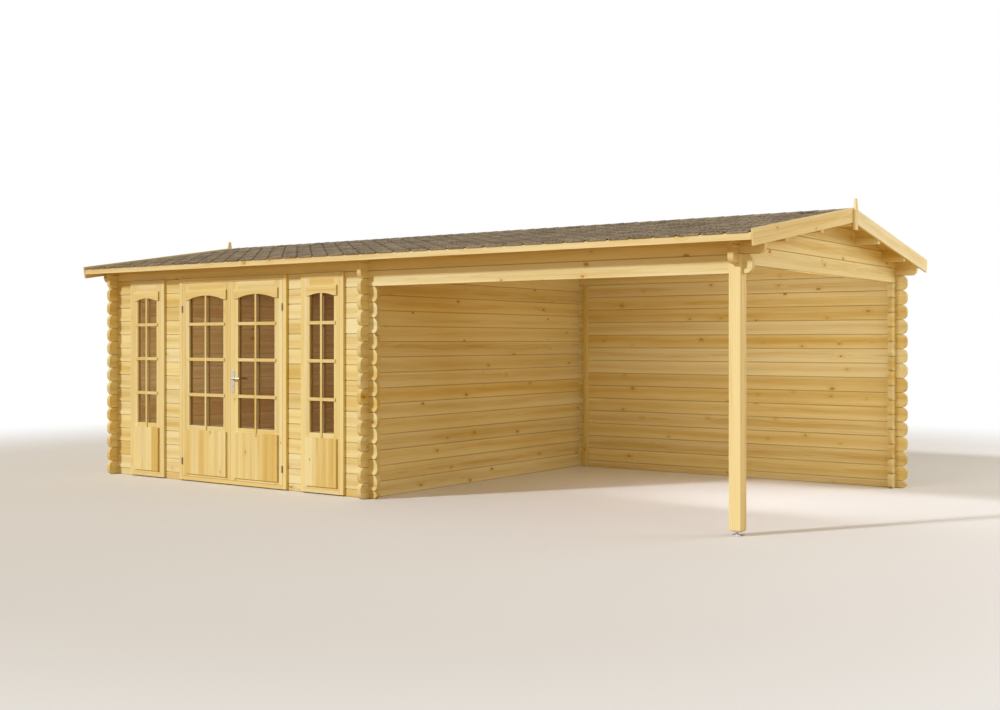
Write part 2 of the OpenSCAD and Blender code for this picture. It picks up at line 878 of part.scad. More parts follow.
module leaf_hinge(x, side) {
  pin = hinge_height / 3;
  for (level = [upper_hinge, lower_hinge])
    translate([x, y_hinge, level])
      difference() {
        hinge_half(side, seat_gap / 2);
        translate([0, 0, -overrun])
          cylinder(r = hinge_pin_radius + pin_clearance, h = pin + seat_gap + overrun);
      }
}

module left_leaf_hinges() {
  color("DimGray")
    leaf_hinge(x_left_hinge, 1);
}

module right_leaf_hinges() {
  color("DimGray")
    leaf_hinge(x_right_hinge, -1);
}

module handle_plates() {
  color("Silver")
    for (y = [frame_front - plate_thickness - seat_gap, frame_front + leaf_thickness + seat_gap])
      difference() {
        translate([x_lever - plate_width / 2, y, lever_level - plate_drop - plate_height / 2])
          cube([plate_width, plate_thickness, plate_height]);
        translate([x_lever, y - overrun, lever_level])
          rotate([-90, 0, 0])
            cylinder(r = neck_radius + seat_gap, h = plate_thickness + 2 * overrun);
      }
}

// Lever from its plate outwards, pointing to the hinge side
module lever() {
  translate([x_lever, 0, lever_level]) {
    rotate([90, 0, 0])
      cylinder(r = neck_radius, h = lever_reach);
    translate([0, -lever_reach, 0])
      rotate([0, 90, 0])
        cylinder(r = lever_radius, h = lever_length);
    translate([0, -lever_reach, 0])
      sphere(r = lever_radius);
  }
}

module lever_handle() {
  outer = frame_front - seat_gap;
  inner = frame_front + leaf_thickness + seat_gap;
  color("Silver") {
    translate([0, outer, 0])
      lever();
    translate([0, inner, 0])
      mirror([0, 1, 0])
        lever();
    translate([x_lever - spindle_half, outer + seat_gap, lever_level - spindle_half])
      cube([2 * spindle_half, inner - outer - 2 * seat_gap, 2 * spindle_half]);
  }
}

left_wall();
partition_wall();
right_gable();
corner_stubs();
front_wall_left();
front_wall_door_left();
front_wall_door_right();
front_wall_right();
veranda_header();
front_plate();
back_wall_room();
back_wall_veranda();
back_plate();
joint_batten();
veranda_post();
post_foot();
floor_bearers();
room_floor();
ridge_purlin();
side_purlins();
roof_boards_front();
roof_boards_rear();
shingles_front();
shingles_rear();
fascia_boards();
left_barge_boards();
right_barge_boards();
finials();
door_frame();
window_frames();
window_sashes();
window_boards();
window_glass();
left_leaf();
left_leaf_boards();
left_leaf_glass();
right_leaf();
right_leaf_boards();
right_leaf_glass();
frame_hinges();
left_leaf_hinges();
right_leaf_hinges();
handle_plates();
lever_handle();
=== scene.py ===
"""Looks of the log summer house: pine logs and joinery, a shingled roof, glass and steel fittings.

Lengths are in metres, in the frame's axes: +X along the ridge, +Y towards the back wall, +Z up.
"""

import json
import math
import random

import bmesh
import bpy
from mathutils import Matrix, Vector


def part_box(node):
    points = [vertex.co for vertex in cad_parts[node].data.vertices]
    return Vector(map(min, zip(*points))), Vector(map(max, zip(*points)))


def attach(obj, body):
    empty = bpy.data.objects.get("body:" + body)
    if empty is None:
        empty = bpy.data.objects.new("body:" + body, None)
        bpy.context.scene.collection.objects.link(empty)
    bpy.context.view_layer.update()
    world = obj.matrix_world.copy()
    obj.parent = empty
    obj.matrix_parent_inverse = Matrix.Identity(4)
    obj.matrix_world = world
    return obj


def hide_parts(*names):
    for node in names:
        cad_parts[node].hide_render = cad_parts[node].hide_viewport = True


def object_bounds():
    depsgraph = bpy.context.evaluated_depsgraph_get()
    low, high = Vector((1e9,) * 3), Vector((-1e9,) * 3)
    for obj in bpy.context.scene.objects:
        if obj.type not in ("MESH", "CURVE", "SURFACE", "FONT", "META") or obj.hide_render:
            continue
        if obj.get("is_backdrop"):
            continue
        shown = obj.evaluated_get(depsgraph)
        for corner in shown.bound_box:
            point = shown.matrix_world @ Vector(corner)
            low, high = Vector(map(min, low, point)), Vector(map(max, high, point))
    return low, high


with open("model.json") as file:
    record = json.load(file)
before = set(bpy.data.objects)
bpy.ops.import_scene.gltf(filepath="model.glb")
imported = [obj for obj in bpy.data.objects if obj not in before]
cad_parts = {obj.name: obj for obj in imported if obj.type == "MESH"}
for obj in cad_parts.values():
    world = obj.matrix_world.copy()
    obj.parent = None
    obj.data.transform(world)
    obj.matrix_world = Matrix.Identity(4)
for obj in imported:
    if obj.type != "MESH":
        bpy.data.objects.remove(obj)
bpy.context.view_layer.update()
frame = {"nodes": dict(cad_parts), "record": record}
CAD = frame["nodes"]

UP = Vector((0, 0, 1))
AXES = {"x": Vector((1, 0, 0)), "y": Vector((0, 1, 0)), "z": UP}

# Outputs of Blender's Attribute node
VECTOR, FACTOR = 1, 2


def rgb(r, g, b):
    """A colour written in display values from 0 to 255, as linear light."""
    shares = (r / 255, g / 255, b / 255)
    return tuple(c / 12.92 if c <= 0.04045 else ((c + 0.055) / 1.055) ** 2.4 for c in shares)


class Nodes:
    """Short calls for the nodes of a shader tree, which starts out empty."""

    def __init__(self, tree):
        self.tree = tree
        self.tree.nodes.clear()

    def feed(self, socket, value):
        if isinstance(value, bpy.types.NodeSocket):
            self.tree.links.new(value, socket)
        elif isinstance(value, tuple) and socket.type == "RGBA":
            socket.default_value = (*value, 1.0)
        else:
            socket.default_value = value

    def node(self, kind, inputs, out=0, **settings):
        n = self.tree.nodes.new("ShaderNode" + kind)
        for key, value in settings.items():
            setattr(n, key, value)
        for key, value in inputs.items():
            self.feed(n.inputs[key], value)
        return n.outputs[out]

    def attribute(self, name, out):
        return self.node("Attribute", {}, out, attribute_name=name)

    def split(self, vector):
        n = self.tree.nodes.new("ShaderNodeSeparateXYZ")
        self.feed(n.inputs[0], vector)
        return n.outputs[0], n.outputs[1], n.outputs[2]

    def join(self, x, y, z):
        return self.node("CombineXYZ", {0: x, 1: y, 2: z})

    def math(self, operation, a, b=0.0):
        return self.node("Math", {0: a, 1: b}, operation=operation)

    def total(self, *terms):
        made = terms[0]
        for t in terms[1:]:
            made = self.math("ADD", made, t)
        return made

    def times(self, a, b):
        return self.math("MULTIPLY", a, b)

    def weighed(self, values, shares):
        """The values times their shares, as a list."""
        return [self.times(values[key], share) for key, share in shares.items()]

    def length(self, a, b):
        return self.math("SQRT", self.total(self.times(a, a), self.times(b, b)))

    def clamp(self, value):
        return self.math("MAXIMUM", self.math("MINIMUM", value, 1.0), 0.0)

    def ease(self, value, low, high, start=0.0, end=1.0):
        """A smooth step from start at low to end at high."""
        keys = {0: value, 1: low, 2: high, 3: start, 4: end}
        return self.node("MapRange", keys, interpolation_type="SMOOTHSTEP")

    def fall(self, value, low, high):
        return self.ease(value, low, high, 1.0, 0.0)

    def mix(self, share, a, b, blend="MIX"):
        return self.node("Mix", {0: share, 6: a, 7: b}, 2, data_type="RGBA", blend_type=blend)

    def noise(self, vector, scale, detail=2.0, rough=0.5):
        keys = {"Vector": vector, "Scale": scale, "Detail": detail, "Roughness": rough}
        return self.node("TexNoise", keys)

    def swing(self, vector, scale, detail=2.0, rough=0.5):
        """Noise about zero."""
        return self.math("SUBTRACT", self.noise(vector, scale, detail, rough), 0.5)

    def voronoi(self, vector, scale, scatter=1.0, dimensions="3D"):
        n = self.tree.nodes.new("ShaderNodeTexVoronoi")
        n.voronoi_dimensions = dimensions
        self.feed(n.inputs["Vector"], vector)
        n.inputs["Scale"].default_value = scale
        n.inputs["Randomness"].default_value = scatter
        return n.outputs

    def backdrop_rays(self):
        """1 for rays that see floor and world as a background, 0 for rays that carry light."""
        path = self.tree.nodes.new("ShaderNodeLightPath").outputs
        bent = self.math("MAXIMUM", path["Is Glossy Ray"], path["Is Transmission Ray"])
        return self.math("MAXIMUM", path["Is Camera Ray"], bent)


class Paint(Nodes):
    """A material with one Principled shader, whose constants are set on its own sockets."""

    def __init__(self, name, **constants):
        self.material = bpy.data.materials.new(name)
        self.material.use_nodes = True
        super().__init__(self.material.node_tree)
        self.shader = self.tree.nodes.new("ShaderNodeBsdfPrincipled")
        self.output = self.tree.nodes.new("ShaderNodeOutputMaterial")
        self.tree.links.new(self.shader.outputs[0], self.output.inputs[0])
        for socket, value in constants.items():
            self.paint(socket, value)

    def paint(self, socket, value):
        self.feed(self.shader.inputs[socket.replace("_", " ")], value)

    def bump(self, height, distance, strength):
        keys = {"Height": height, "Distance": distance, "Strength": strength}
        self.paint("Normal", self.node("Bump", keys))


# Pine knots: cells in a metre along and across the timber, and shares of a knot's own radius
CELLS_ALONG, CELLS_ACROSS, CELL_SCATTER = 2.7, 6.8, 0.92
KNOT_STRETCH, KNOT_LEAST = 1.9, 0.001
KNOT_WOBBLE, KNOT_WOBBLE_SCALE, KNOT_WOBBLE_DETAIL = 0.006, 70.0, 1.0
KNOT_RIM_SHARES, KNOT_HEART_SHARES, KNOT_HALO = (0.7, 1.05), (0.15, 0.6), (0.0, 0.03)
KNOT_BASE, KNOT_SPAN, HEART_SHARE, HEART_SHADE = 0.64, 0.3, 0.18, 0.55

# Pine streaks: scale along and across the timber, scale of the noise, detail
SLOW, FIBRE, BLOTCH = (0.5, 3.0, 1.6, 2.0), (4.0, 190.0, 1.0, 3.0), (0.8, 14.0, 1.0, 3.0)
RING_WAVE, RING_BEND = 4.0, 1.3
LATE_RISE, LATE_FALL = (0.35, 0.9), (0.93, 1.0)
HEARTWOOD_WAVE, HEARTWOOD_EDGE = 0.06, (0.006, 0.052)

# Pine colours: how far each cause takes the pale colour towards the deep one
DEEP_BASE = 0.11
DEEP_SHARES = {"late": 0.24, "blotch": 1.15, "fibre": 0.5, "tone": 0.26, "halo": 0.2, "heartwood": 0.37}
WARM_TURNS, WARM_SHARE, WARM_TINT = 7.3, 0.8, (1.0, 0.91, 0.62)
END_SHADE, END_BASE, END_LATE = 0.62, 0.08, 0.26
# Painted shade in the log joints: how far the chamfers along each log go towards this shadow brown
GROOVE_SHADE_SHARE, GROOVE_SHADE_COLOUR = 0.42, rgb(152, 98, 38)
PINE_ROUGH_SHARES = {"fibre": 0.22, "late": -0.08, "end": 0.2}
PINE_RELIEF_SHARES = {"late": 0.35, "fibre": 1.0, "core": -0.4}


def pine(name, pale, deep, knot, ring_pitch=0.009, knot_share=0.30, knot_size=0.0165, rough=0.56):
    """Planed pine: growth rings round an off-centre pith, fibres, blotches, knots and end grain."""
    p = Paint(name, Specular_IOR_Level=0.32)
    u, v, w = p.split(p.attribute("grain", VECTOR))
    tone, pith_v, pith_w = p.split(p.attribute("timber", VECTOR))
    end = p.attribute("end", FACTOR)
    groove = p.attribute("groove", FACTOR)

    def streaks(along, across, scale, detail):
        return p.swing(p.join(p.times(u, along), p.times(v, across), p.times(w, across)), scale, detail)

    # Knots: one in some of the cells along the timber, with rings that bend round it
    cells = p.join(p.times(u, CELLS_ALONG), p.times(w, CELLS_ACROSS), 0.0)
    scattered = p.voronoi(cells, 1.0, CELL_SCATTER, "2D")
    chance, shade, _ = p.split(scattered["Color"])
    spot = p.node("VectorMath", {0: scattered["Position"], 1: cells}, operation="SUBTRACT")
    du, dw, _ = p.split(spot)
    wobble = p.swing(p.join(u, v, w), KNOT_WOBBLE_SCALE, KNOT_WOBBLE_DETAIL)
    wobble = p.times(wobble, KNOT_WOBBLE)
    du = p.total(p.times(du, 1 / CELLS_ALONG / KNOT_STRETCH), wobble)
    dw = p.total(p.times(dw, 1 / CELLS_ACROSS), wobble)
    away = p.length(du, dw)
    size = p.times(p.math("SUBTRACT", chance, 1 - knot_share), knot_size / knot_share)
    here = p.math("GREATER_THAN", chance, 1 - knot_share)
    reach = p.math("DIVIDE", away, p.math("MAXIMUM", size, KNOT_LEAST))
    core = p.times(here, p.fall(reach, *KNOT_RIM_SHARES))
    heart = p.times(here, p.fall(reach, *KNOT_HEART_SHARES))
    halo = p.times(here, p.fall(p.math("SUBTRACT", away, size), *KNOT_HALO))

    # Growth rings, with late wood that darkens slowly and ends sharply
    slow = streaks(*SLOW)
    off_v = p.math("SUBTRACT", v, pith_v)
    off_w = p.math("SUBTRACT", w, pith_w)
    from_pith = p.times(p.length(off_v, off_w), 1 / ring_pitch)
    step = p.math("FRACT", p.total(from_pith, p.times(slow, RING_WAVE), p.times(halo, RING_BEND)))
    late = p.times(p.ease(step, *LATE_RISE), p.fall(step, *LATE_FALL))
    fibre = streaks(*FIBRE)
    blotch = streaks(*BLOTCH)

    # Deeper heartwood near the pith, paler sapwood towards the edges
    off_heart = p.math("ABSOLUTE", p.total(off_w, p.times(slow, HEARTWOOD_WAVE)))
    heartwood = p.fall(off_heart, *HEARTWOOD_EDGE)
    causes = {
        "late": late, "blotch": blotch, "fibre": fibre, "tone": tone, "halo": halo, "heartwood": heartwood,
        "core": core, "end": end,
    }
    amount = p.total(DEEP_BASE, *p.weighed(causes, DEEP_SHARES))
    colour = p.mix(p.clamp(amount), pale, deep)

    # Some timbers are yellower than others
    warmth = p.times(p.math("FRACT", p.times(tone, WARM_TURNS)), WARM_SHARE)
    colour = p.mix(warmth, colour, WARM_TINT, "MULTIPLY")
    colour = p.mix(p.times(core, p.total(KNOT_BASE, p.times(shade, KNOT_SPAN))), colour, knot)
    colour = p.mix(p.times(heart, HEART_SHARE), colour, tuple(c * HEART_SHADE for c in knot))
    end_share = p.times(end, p.total(END_BASE, p.times(late, END_LATE)))
    colour = p.mix(end_share, colour, tuple(c * END_SHADE for c in deep))
    # Painted shade: the chamfers at the log joints go darker brown
    colour = p.mix(p.times(groove, GROOVE_SHADE_SHARE), colour, GROOVE_SHADE_COLOUR)
    p.paint("Base Color", colour)
    p.paint("Roughness", p.total(rough, *p.weighed(causes, PINE_ROUGH_SHARES)))
    p.bump(p.total(*p.weighed(causes, PINE_RELIEF_SHARES)), distance=0.0005, strength=0.5)
    return p.material


GRIT_SCALE, PATCH_SCALE = 420.0, 7.0
FLECK_SCALE, FLECK_DETAIL, FLECK_ROUGH = 75.0, 3.0, 0.7
# Painted shade under the butt of the row above: where the head mark of a tab starts and ends darkening it
BUTT_SHADE_EDGE = (0.45, 0.84)
GRIT_BASE = 0.36
GRIT_SHARES = {"pick": 0.4, "fleck": 2.4, "patch": 0.5, "tone": 0.2, "covered": -0.34}
GRIT_ROUGH, GRIT_ROUGH_SPAN, GRIT_RELIEF = 0.86, 0.1, 0.4


def bitumen(name, dark, pale):
    """Mineral granules on bitumen: grit in flecks, a tone for each tab, and painted shade towards a tab's
    head, under the butt of the row above.
    """
    p = Paint(name, Specular_IOR_Level=0.25)
    place = p.attribute("grain", VECTOR)
    grit = p.voronoi(place, GRIT_SCALE)
    pick, depth, _ = p.split(grit["Color"])
    causes = {
        "pick": pick,
        "fleck": p.swing(place, FLECK_SCALE, FLECK_DETAIL, FLECK_ROUGH),
        "patch": p.swing(place, PATCH_SCALE),
        "tone": p.split(p.attribute("timber", VECTOR))[0],
        "covered": p.ease(p.attribute("fade", FACTOR), *BUTT_SHADE_EDGE),
    }
    amount = p.total(GRIT_BASE, *p.weighed(causes, GRIT_SHARES))
    p.paint("Base Color", p.mix(p.clamp(amount), dark, pale))
    p.paint("Roughness", p.total(GRIT_ROUGH, p.times(depth, GRIT_ROUGH_SPAN)))
    p.bump(p.total(grit["Distance"], p.times(pick, GRIT_RELIEF)), distance=0.0012, strength=0.7)
    return p.material


BRUSH_ALONG, BRUSH_ACROSS, BRUSH_DETAIL = 30.0, 1500.0, 3.0
CLOUD_SCALE, CLOUD_DETAIL, CLOUD_SHARE, CLOUD_ROUGH = 60.0, 3.0, 0.5, 0.15
STEEL_BASE, STEEL_LIGHT, STREAK_ROUGH = 0.4, 1.25, 0.3


def steel(name, colour, rough, streak):
    """Brushed or cast steel with fine streaks along the grain."""
    p = Paint(name, Metallic=1.0)
    u, v, w = p.split(p.attribute("grain", VECTOR))
    lines = p.join(p.times(u, BRUSH_ALONG), p.times(v, BRUSH_ACROSS), p.times(w, BRUSH_ACROSS))
    brush = p.swing(lines, 1.0, BRUSH_DETAIL)
    cloud = p.swing(p.join(u, v, w), CLOUD_SCALE, CLOUD_DETAIL)
    light = tuple(min(1.0, c * STEEL_LIGHT) for c in colour)
    share = p.total(STEEL_BASE, p.times(brush, streak), p.times(cloud, CLOUD_SHARE))
    p.paint("Base Color", p.mix(share, colour, light))
    p.paint("Roughness", p.total(rough, p.times(brush, streak * STREAK_ROUGH), p.times(cloud, CLOUD_ROUGH)))
    p.bump(brush, distance=0.0001, strength=0.4)
    return p.material


SPANGLE_SCALE, SPANGLE_RELIEF_SCALE = 110.0, 500.0
ZINC_DARK, ZINC_PALE = rgb(188, 190, 190), rgb(224, 226, 225)
ZINC_ROUGH, ZINC_ROUGH_SPAN = 0.34, 0.18


def zinc(name):
    """Hot-dip galvanised steel with a crystal spangle."""
    p = Paint(name, Metallic=1.0)
    place = p.attribute("grain", VECTOR)
    flake, facet, _ = p.split(p.voronoi(place, SPANGLE_SCALE)["Color"])
    p.paint("Base Color", p.mix(flake, ZINC_DARK, ZINC_PALE))
    p.paint("Roughness", p.total(ZINC_ROUGH, p.times(facet, ZINC_ROUGH_SPAN)))
    p.bump(p.noise(place, SPANGLE_RELIEF_SCALE), distance=0.0002, strength=0.3)
    return p.material


def pane(name):
    """Clear window glass, a thin film that lamps and sight pass through."""
    film = rgb(88, 42, 46)
    return Paint(name, Roughness=0.03, IOR=1.52, Alpha=0.25, Base_Color=film, Specular_IOR_Level=0.3).material


KNOT, JOINERY_KNOT = rgb(192, 148, 46), rgb(188, 142, 46)
LOOKS = {
    "log_pine": pine("log_pine", rgb(246, 240, 197), rgb(218, 194, 119), KNOT),
    "board_pine": pine(
        "board_pine", rgb(248, 241, 202), rgb(224, 199, 131), KNOT,
        ring_pitch=0.011, knot_share=0.28, knot_size=0.016,
    ),
    "roof_pine": pine(
        "roof_pine", rgb(240, 226, 172), rgb(209, 177, 96), KNOT,
        ring_pitch=0.010, knot_share=0.32, knot_size=0.018,
    ),
    "floor_pine": pine(
        "floor_pine", rgb(234, 215, 163), rgb(202, 163, 91), KNOT,
        ring_pitch=0.010, knot_share=0.32, knot_size=0.018, rough=0.5,
    ),
    "joinery_pine": pine(
        "joinery_pine", rgb(244, 236, 188), rgb(220, 194, 118), JOINERY_KNOT,
        ring_pitch=0.007, knot_share=0.22, knot_size=0.011, rough=0.5,
    ),
    "glass": pane("glass"),
    "bitumen_shingle": bitumen("bitumen_shingle", rgb(74, 66, 55), rgb(178, 164, 143)),
    # Painted shade: a darker bitumen for the sheet seen in the slots between tabs
    "bitumen_slot": bitumen("bitumen_slot", rgb(52, 46, 38), rgb(98, 88, 74)),
    "hinge_steel": steel("hinge_steel", rgb(170, 160, 141), rough=0.44, streak=0.3),
    "handle_steel": steel("handle_steel", rgb(186, 181, 172), rough=0.45, streak=0.5),
    "foot_steel": zinc("foot_steel"),
}

# Meshes: limits for welding, for joining flat faces, and for what lies in the same plane
WELD, FLAT_ANGLE, SAME_PLANE = 1e-5, math.radians(0.4), 1e-4
GROUP_DIGITS, EDGE_DIGITS = 4, 5
EASE_LEAST_SHARE = 2.2
BOARD_EASE = 0.0015


def groups(bm):
    """The vertices of each solid, from left to right, front to back and low to high."""
    seen, found = set(), []
    bm.verts.ensure_lookup_table()
    for first in bm.verts:
        if first in seen:
            continue
        seen.add(first)
        todo, group = [first], []
        while todo:
            v = todo.pop()
            group.append(v)
            for e in v.link_edges:
                other = e.other_vert(v)
                if other not in seen:
                    seen.add(other)
                    todo.append(other)
        found.append(group)

    def centre_of(group):
        return tuple(round(sum(v.co[i] for v in group) / len(group), GROUP_DIGITS) for i in range(3))

    return sorted(found, key=centre_of)


def extent(points):
    """The lowest and highest corners of points."""
    low = Vector([min(p[i] for p in points) for i in range(3)])
    high = Vector([max(p[i] for p in points) for i in range(3)])
    return low, high


def copy_of(node):
    """The welded mesh of a CAD node, with flat faces joined."""
    bm = bmesh.new()
    bm.from_mesh(CAD[node].data)
    bmesh.ops.remove_doubles(bm, verts=bm.verts[:], dist=WELD)
    bmesh.ops.dissolve_limit(bm, angle_limit=FLAT_ANGLE, verts=bm.verts[:], edges=bm.edges[:])
    return bm


def solids(node):
    """The corners of a node's solids."""
    bm = copy_of(node)
    found = [extent([v.co for v in g]) for g in groups(bm)]
    bm.free()
    return found


def round_over(bm, edges, width, segments):
    bmesh.ops.bevel(
        bm, geom=edges, offset=width, offset_type="OFFSET", segments=segments, profile=0.5, affect="EDGES",
        clamp_overlap=True,
    )


def soften(bm, width, segments=2, angle=50.0, pick=None):
    """Eases the sharp edges of each solid."""
    for group in groups(bm):
        edges = [
            e
            for e in {e for v in group for e in v.link_edges}
            if len(e.link_faces) == 2
            and e.calc_face_angle(0.0) > math.radians(angle)
            and e.calc_length() > EASE_LEAST_SHARE * width
            and (pick is None or pick(e))
        ]
        edges.sort(key=lambda e: tuple(round(c, EDGE_DIGITS) for v in e.verts for c in v.co))
        if edges:
            round_over(bm, edges, width, segments)


def block(bm, low, high, ease=BOARD_EASE, segments=2):
    """A board between two corners with eased edges."""
    low, high = Vector(low), Vector(high)
    made = bmesh.ops.create_cube(bm, size=1.0)["verts"]
    for v in made:
        v.co = Vector([low[i] + (v.co[i] + 0.5) * (high[i] - low[i]) for i in range(3)])
    round_over(bm, list({e for v in made for e in v.link_edges}), ease, segments)


def prism(bm, rings):
    """A closed solid through rings of equal count, capped at both ends; gives its rings of vertices."""
    made = [[bm.verts.new(p) for p in ring] for ring in rings]
    count = len(made[0])
    for a, b in zip(made, made[1:]):
        for i in range(count):
            j = (i + 1) % count
            bm.faces.new((a[i], a[j], b[j], b[i]))
    bm.faces.new(reversed(made[0]))
    bm.faces.new(made[-1])
    return made


def turned(bm, foot, axis, profile, sides):
    """A turned piece: (distance along the axis, radius) pairs from its foot."""
    axis = Vector(axis).normalized()
    across = axis.orthogonal().normalized()
    third = axis.cross(across)
    rings = []
    for along, radius in profile:
        ring = []
        for k in range(sides):
            a = 2 * math.pi * k / sides
            ring.append(Vector(foot) + axis * along + (across * math.cos(a) + third * math.sin(a)) * radius)
        rings.append(ring)
    prism(bm, rings)


def swept(bm, path, sizes, sides=20):
    """A bar along a path in one level plane, with (level, upright) half sizes at each point."""
    rings = []
    for i, point in enumerate(path):
        a, b = Vector(path[max(i - 1, 0)]), Vector(path[min(i + 1, len(path) - 1)])
        side = (b - a).normalized().cross(UP)
        ring = []
        for k in range(sides):
            t = 2 * math.pi * k / sides
            ring.append(Vector(point) + side * (math.cos(t) * sizes[i][0]) + UP * (math.sin(t) * sizes[i][1]))
        rings.append(ring)
    prism(bm, rings)


# Each timber's own place in the grain, its tone, and its pith's depth and shift
GRAIN_SHIFT, GRAIN_LIFT = 90, 9
TONE_SPREAD, TONE_LIMIT = 0.62, 1.6
PITH_DEPTH, PITH_SHIFT_SHARE = 0.06, 0.45
ALONG_LIMIT = 0.7

# How far a face looks along the grain where end grain starts, and over what span it is full
END_START, END_SPAN = 0.3, 0.45

# The slant of the chamfers along a log, by the lesser parts of their normals; these chamfers get painted
# joint shade
LEVEL_LIMIT, CHAMFER_SPAN = 0.02, (0.6, 0.8)


def grain_axis(along, size, middle):
    """The direction of a solid's grain: its longest side, a named axis, or a direction for its place."""
    if along is None:
        return AXES[max("xyz", key=lambda name: getattr(size, name))]
    if callable(along):
        return along(middle).normalized()
    return AXES[along]


def finish_mesh(bm, key, along, sharp, tone_span, shade_grooves):
    """The mesh with smooth and sharp edges, each solid's grain, tone and end grain, and the log chamfers that
    get painted joint shade.
    """
    bmesh.ops.recalc_face_normals(bm, faces=bm.faces[:])
    bm.verts.index_update()
    grain = [None] * len(bm.verts)
    timber = [None] * len(bm.verts)
    axis_of = {}
    for number, group in enumerate(groups(bm)):
        low, high = extent([v.co for v in group])
        size, middle = high - low, (low + high) / 2
        a = grain_axis(along, size, middle)
        thin = min((i for i in range(3) if abs(a[i]) < ALONG_LIMIT), key=lambda i: size[i])
        c = Vector([1.0 if i == thin else 0.0 for i in range(3)])
        b = a.cross(c)
        dice = random.Random(f"{key} {number}")
        shift = dice.uniform(0, GRAIN_SHIFT)
        lift = dice.uniform(0, GRAIN_LIFT)
        tone = max(-TONE_LIMIT, min(TONE_LIMIT, dice.gauss(0, TONE_SPREAD))) * tone_span
        side = dice.choice((-1, 1))
        pith_c = side * (size[thin] / 2 + dice.uniform(0.0, PITH_DEPTH))
        pith_b = lift + dice.uniform(-PITH_SHIFT_SHARE, PITH_SHIFT_SHARE) * min(size)
        for v in group:
            d = v.co - middle
            grain[v.index] = (d.dot(a) + shift, d.dot(c), d.dot(b) + lift)
            timber[v.index] = (tone, pith_c, pith_b)
            axis_of[v.index] = a
    mesh = bpy.data.meshes.new(key)
    ends, groove_shades = [], []
    for f in bm.faces:
        f.smooth = True
        facing = abs(f.normal.dot(axis_of[f.verts[0].index]))
        ends.append(max(0.0, min(1.0, (facing - END_START) / END_SPAN)))
        # Chamfers along a log are marked for painted joint shade
        level, slant, _ = sorted(abs(c) for c in f.normal)
        chamfer = level < LEVEL_LIMIT and CHAMFER_SPAN[0] < slant < CHAMFER_SPAN[1] and facing < LEVEL_LIMIT
        groove_shades.append(1.0 if shade_grooves and chamfer else 0.0)
    bm.to_mesh(mesh)
    bm.free()
    for name, values in (("grain", grain), ("timber", timber)):
        made = mesh.attributes.new(name, "FLOAT_VECTOR", "POINT")
        made.data.foreach_set("vector", [c for value in values for c in value])
    for name, values in (("end", ends), ("groove", groove_shades)):
        made = mesh.attributes.new(name, "FLOAT", "FACE")
        made.data.foreach_set("value", values)
    mesh.set_sharp_from_angle(angle=math.radians(sharp))
    return mesh


def piece(name, bm, slot, body, *nodes, look=None, along=None, sharp=28.0, tone_span=1.0, shade_grooves=False):
    """Adds a finished piece that rides on a body and stands for CAD nodes."""
    mesh = finish_mesh(bm, name, along, sharp, tone_span, shade_grooves)
    mesh.materials.append(LOOKS[look or slot])
    made = bpy.data.objects.new(name, mesh)
    bpy.context.scene.collection.objects.link(made)
    weigh = made.modifiers.new("weighted", "WEIGHTED_NORMAL")
    weigh.keep_sharp = True
    weigh.mode = "FACE_AREA"
    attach(made, body)
    if nodes:
        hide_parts(*nodes)
    return made


# Log walls: the faces of the walls, and how far beyond them the rounded ends of the logs start
WALL_LEFT, WALL_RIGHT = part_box("left_wall")[0].x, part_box("right_gable")[1].x
WALL_FRONT, WALL_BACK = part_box("front_wall_left")[0].y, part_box("back_wall_room")[1].y
PARTITION_RIGHT, MIDDLE_LOGS_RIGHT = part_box("partition_wall")[1].x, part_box("front_wall_right")[1].x
LOG_END_START = 0.045
LOG_EASE, LOG_EASE_ANGLE = 0.003, 60.0
LOG_WALLS = [
    "left_wall", "partition_wall", "right_gable", "corner_stubs", "front_wall_left", "front_wall_door_left",
    "front_wall_door_right", "front_wall_right", "veranda_header", "front_plate", "back_wall_room",
    "back_wall_veranda", "back_plate",
]


def log_ends(edge):
    """True for the edges round a log's rounded ends, which lie beyond the crossings."""
    x, y, _ = (edge.verts[0].co + edge.verts[1].co) / 2
    beyond = max(WALL_LEFT - x, x - WALL_RIGHT, WALL_FRONT - y, y - WALL_BACK)
    middle = PARTITION_RIGHT + LOG_END_START < x < MIDDLE_LOGS_RIGHT + LOG_END_START
    return beyond > LOG_END_START or middle


for node in LOG_WALLS:
    bm = copy_of(node)
    soften(bm, LOG_EASE, angle=LOG_EASE_ANGLE, pick=log_ends)
    piece(node + "_logs", bm, "log_pine", "house", node, shade_grooves=True)

# Veranda: batten, post and the post's foot with its nuts and bolts
POST_EASE, FOOT_EASE = 0.009, 0.0012
NUT_LEVELS = (0.0052, 0.021)
NUT = [(0.0, 0.0155), (0.0006, 0.0165), (0.0062, 0.0165), (0.0068, 0.0155)]
BOLT_SPREAD, BOLT_LEVEL = 0.029, 0.005
BOLT = [(0, 0.0062), (0.0022, 0.0062), (0.0034, 0.0046), (0.0036, 0.002)]

bm = copy_of("joint_batten")
soften(bm, LOG_EASE)
piece("batten", bm, "log_pine", "house", "joint_batten")

bm = copy_of("veranda_post")
post_low, post_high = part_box("veranda_post")


def post_corner(edge):
    """True for the upright edges at the post's outer corners."""
    return all(
        min(abs(v.co[i] - post_low[i]), abs(v.co[i] - post_high[i])) < SAME_PLANE
        for v in edge.verts
        for i in (0, 1)
    )


soften(bm, POST_EASE, segments=3, pick=post_corner)
piece("post", bm, "board_pine", "house", "veranda_post")

bm = copy_of("post_foot")
soften(bm, FOOT_EASE)
low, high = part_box("post_foot")
centre = (low + high) / 2
for level in NUT_LEVELS:
    turned(bm, (centre.x, centre.y, low.z + level), UP, NUT, sides=6)
for sx in (-1, 1):
    for sy in (-1, 1):
        spot = (centre.x + sx * BOLT_SPREAD, centre.y + sy * BOLT_SPREAD, low.z + BOLT_LEVEL)
        turned(bm, spot, UP, BOLT, sides=12)
piece("foot", bm, "foot_steel", "house", "post_foot")

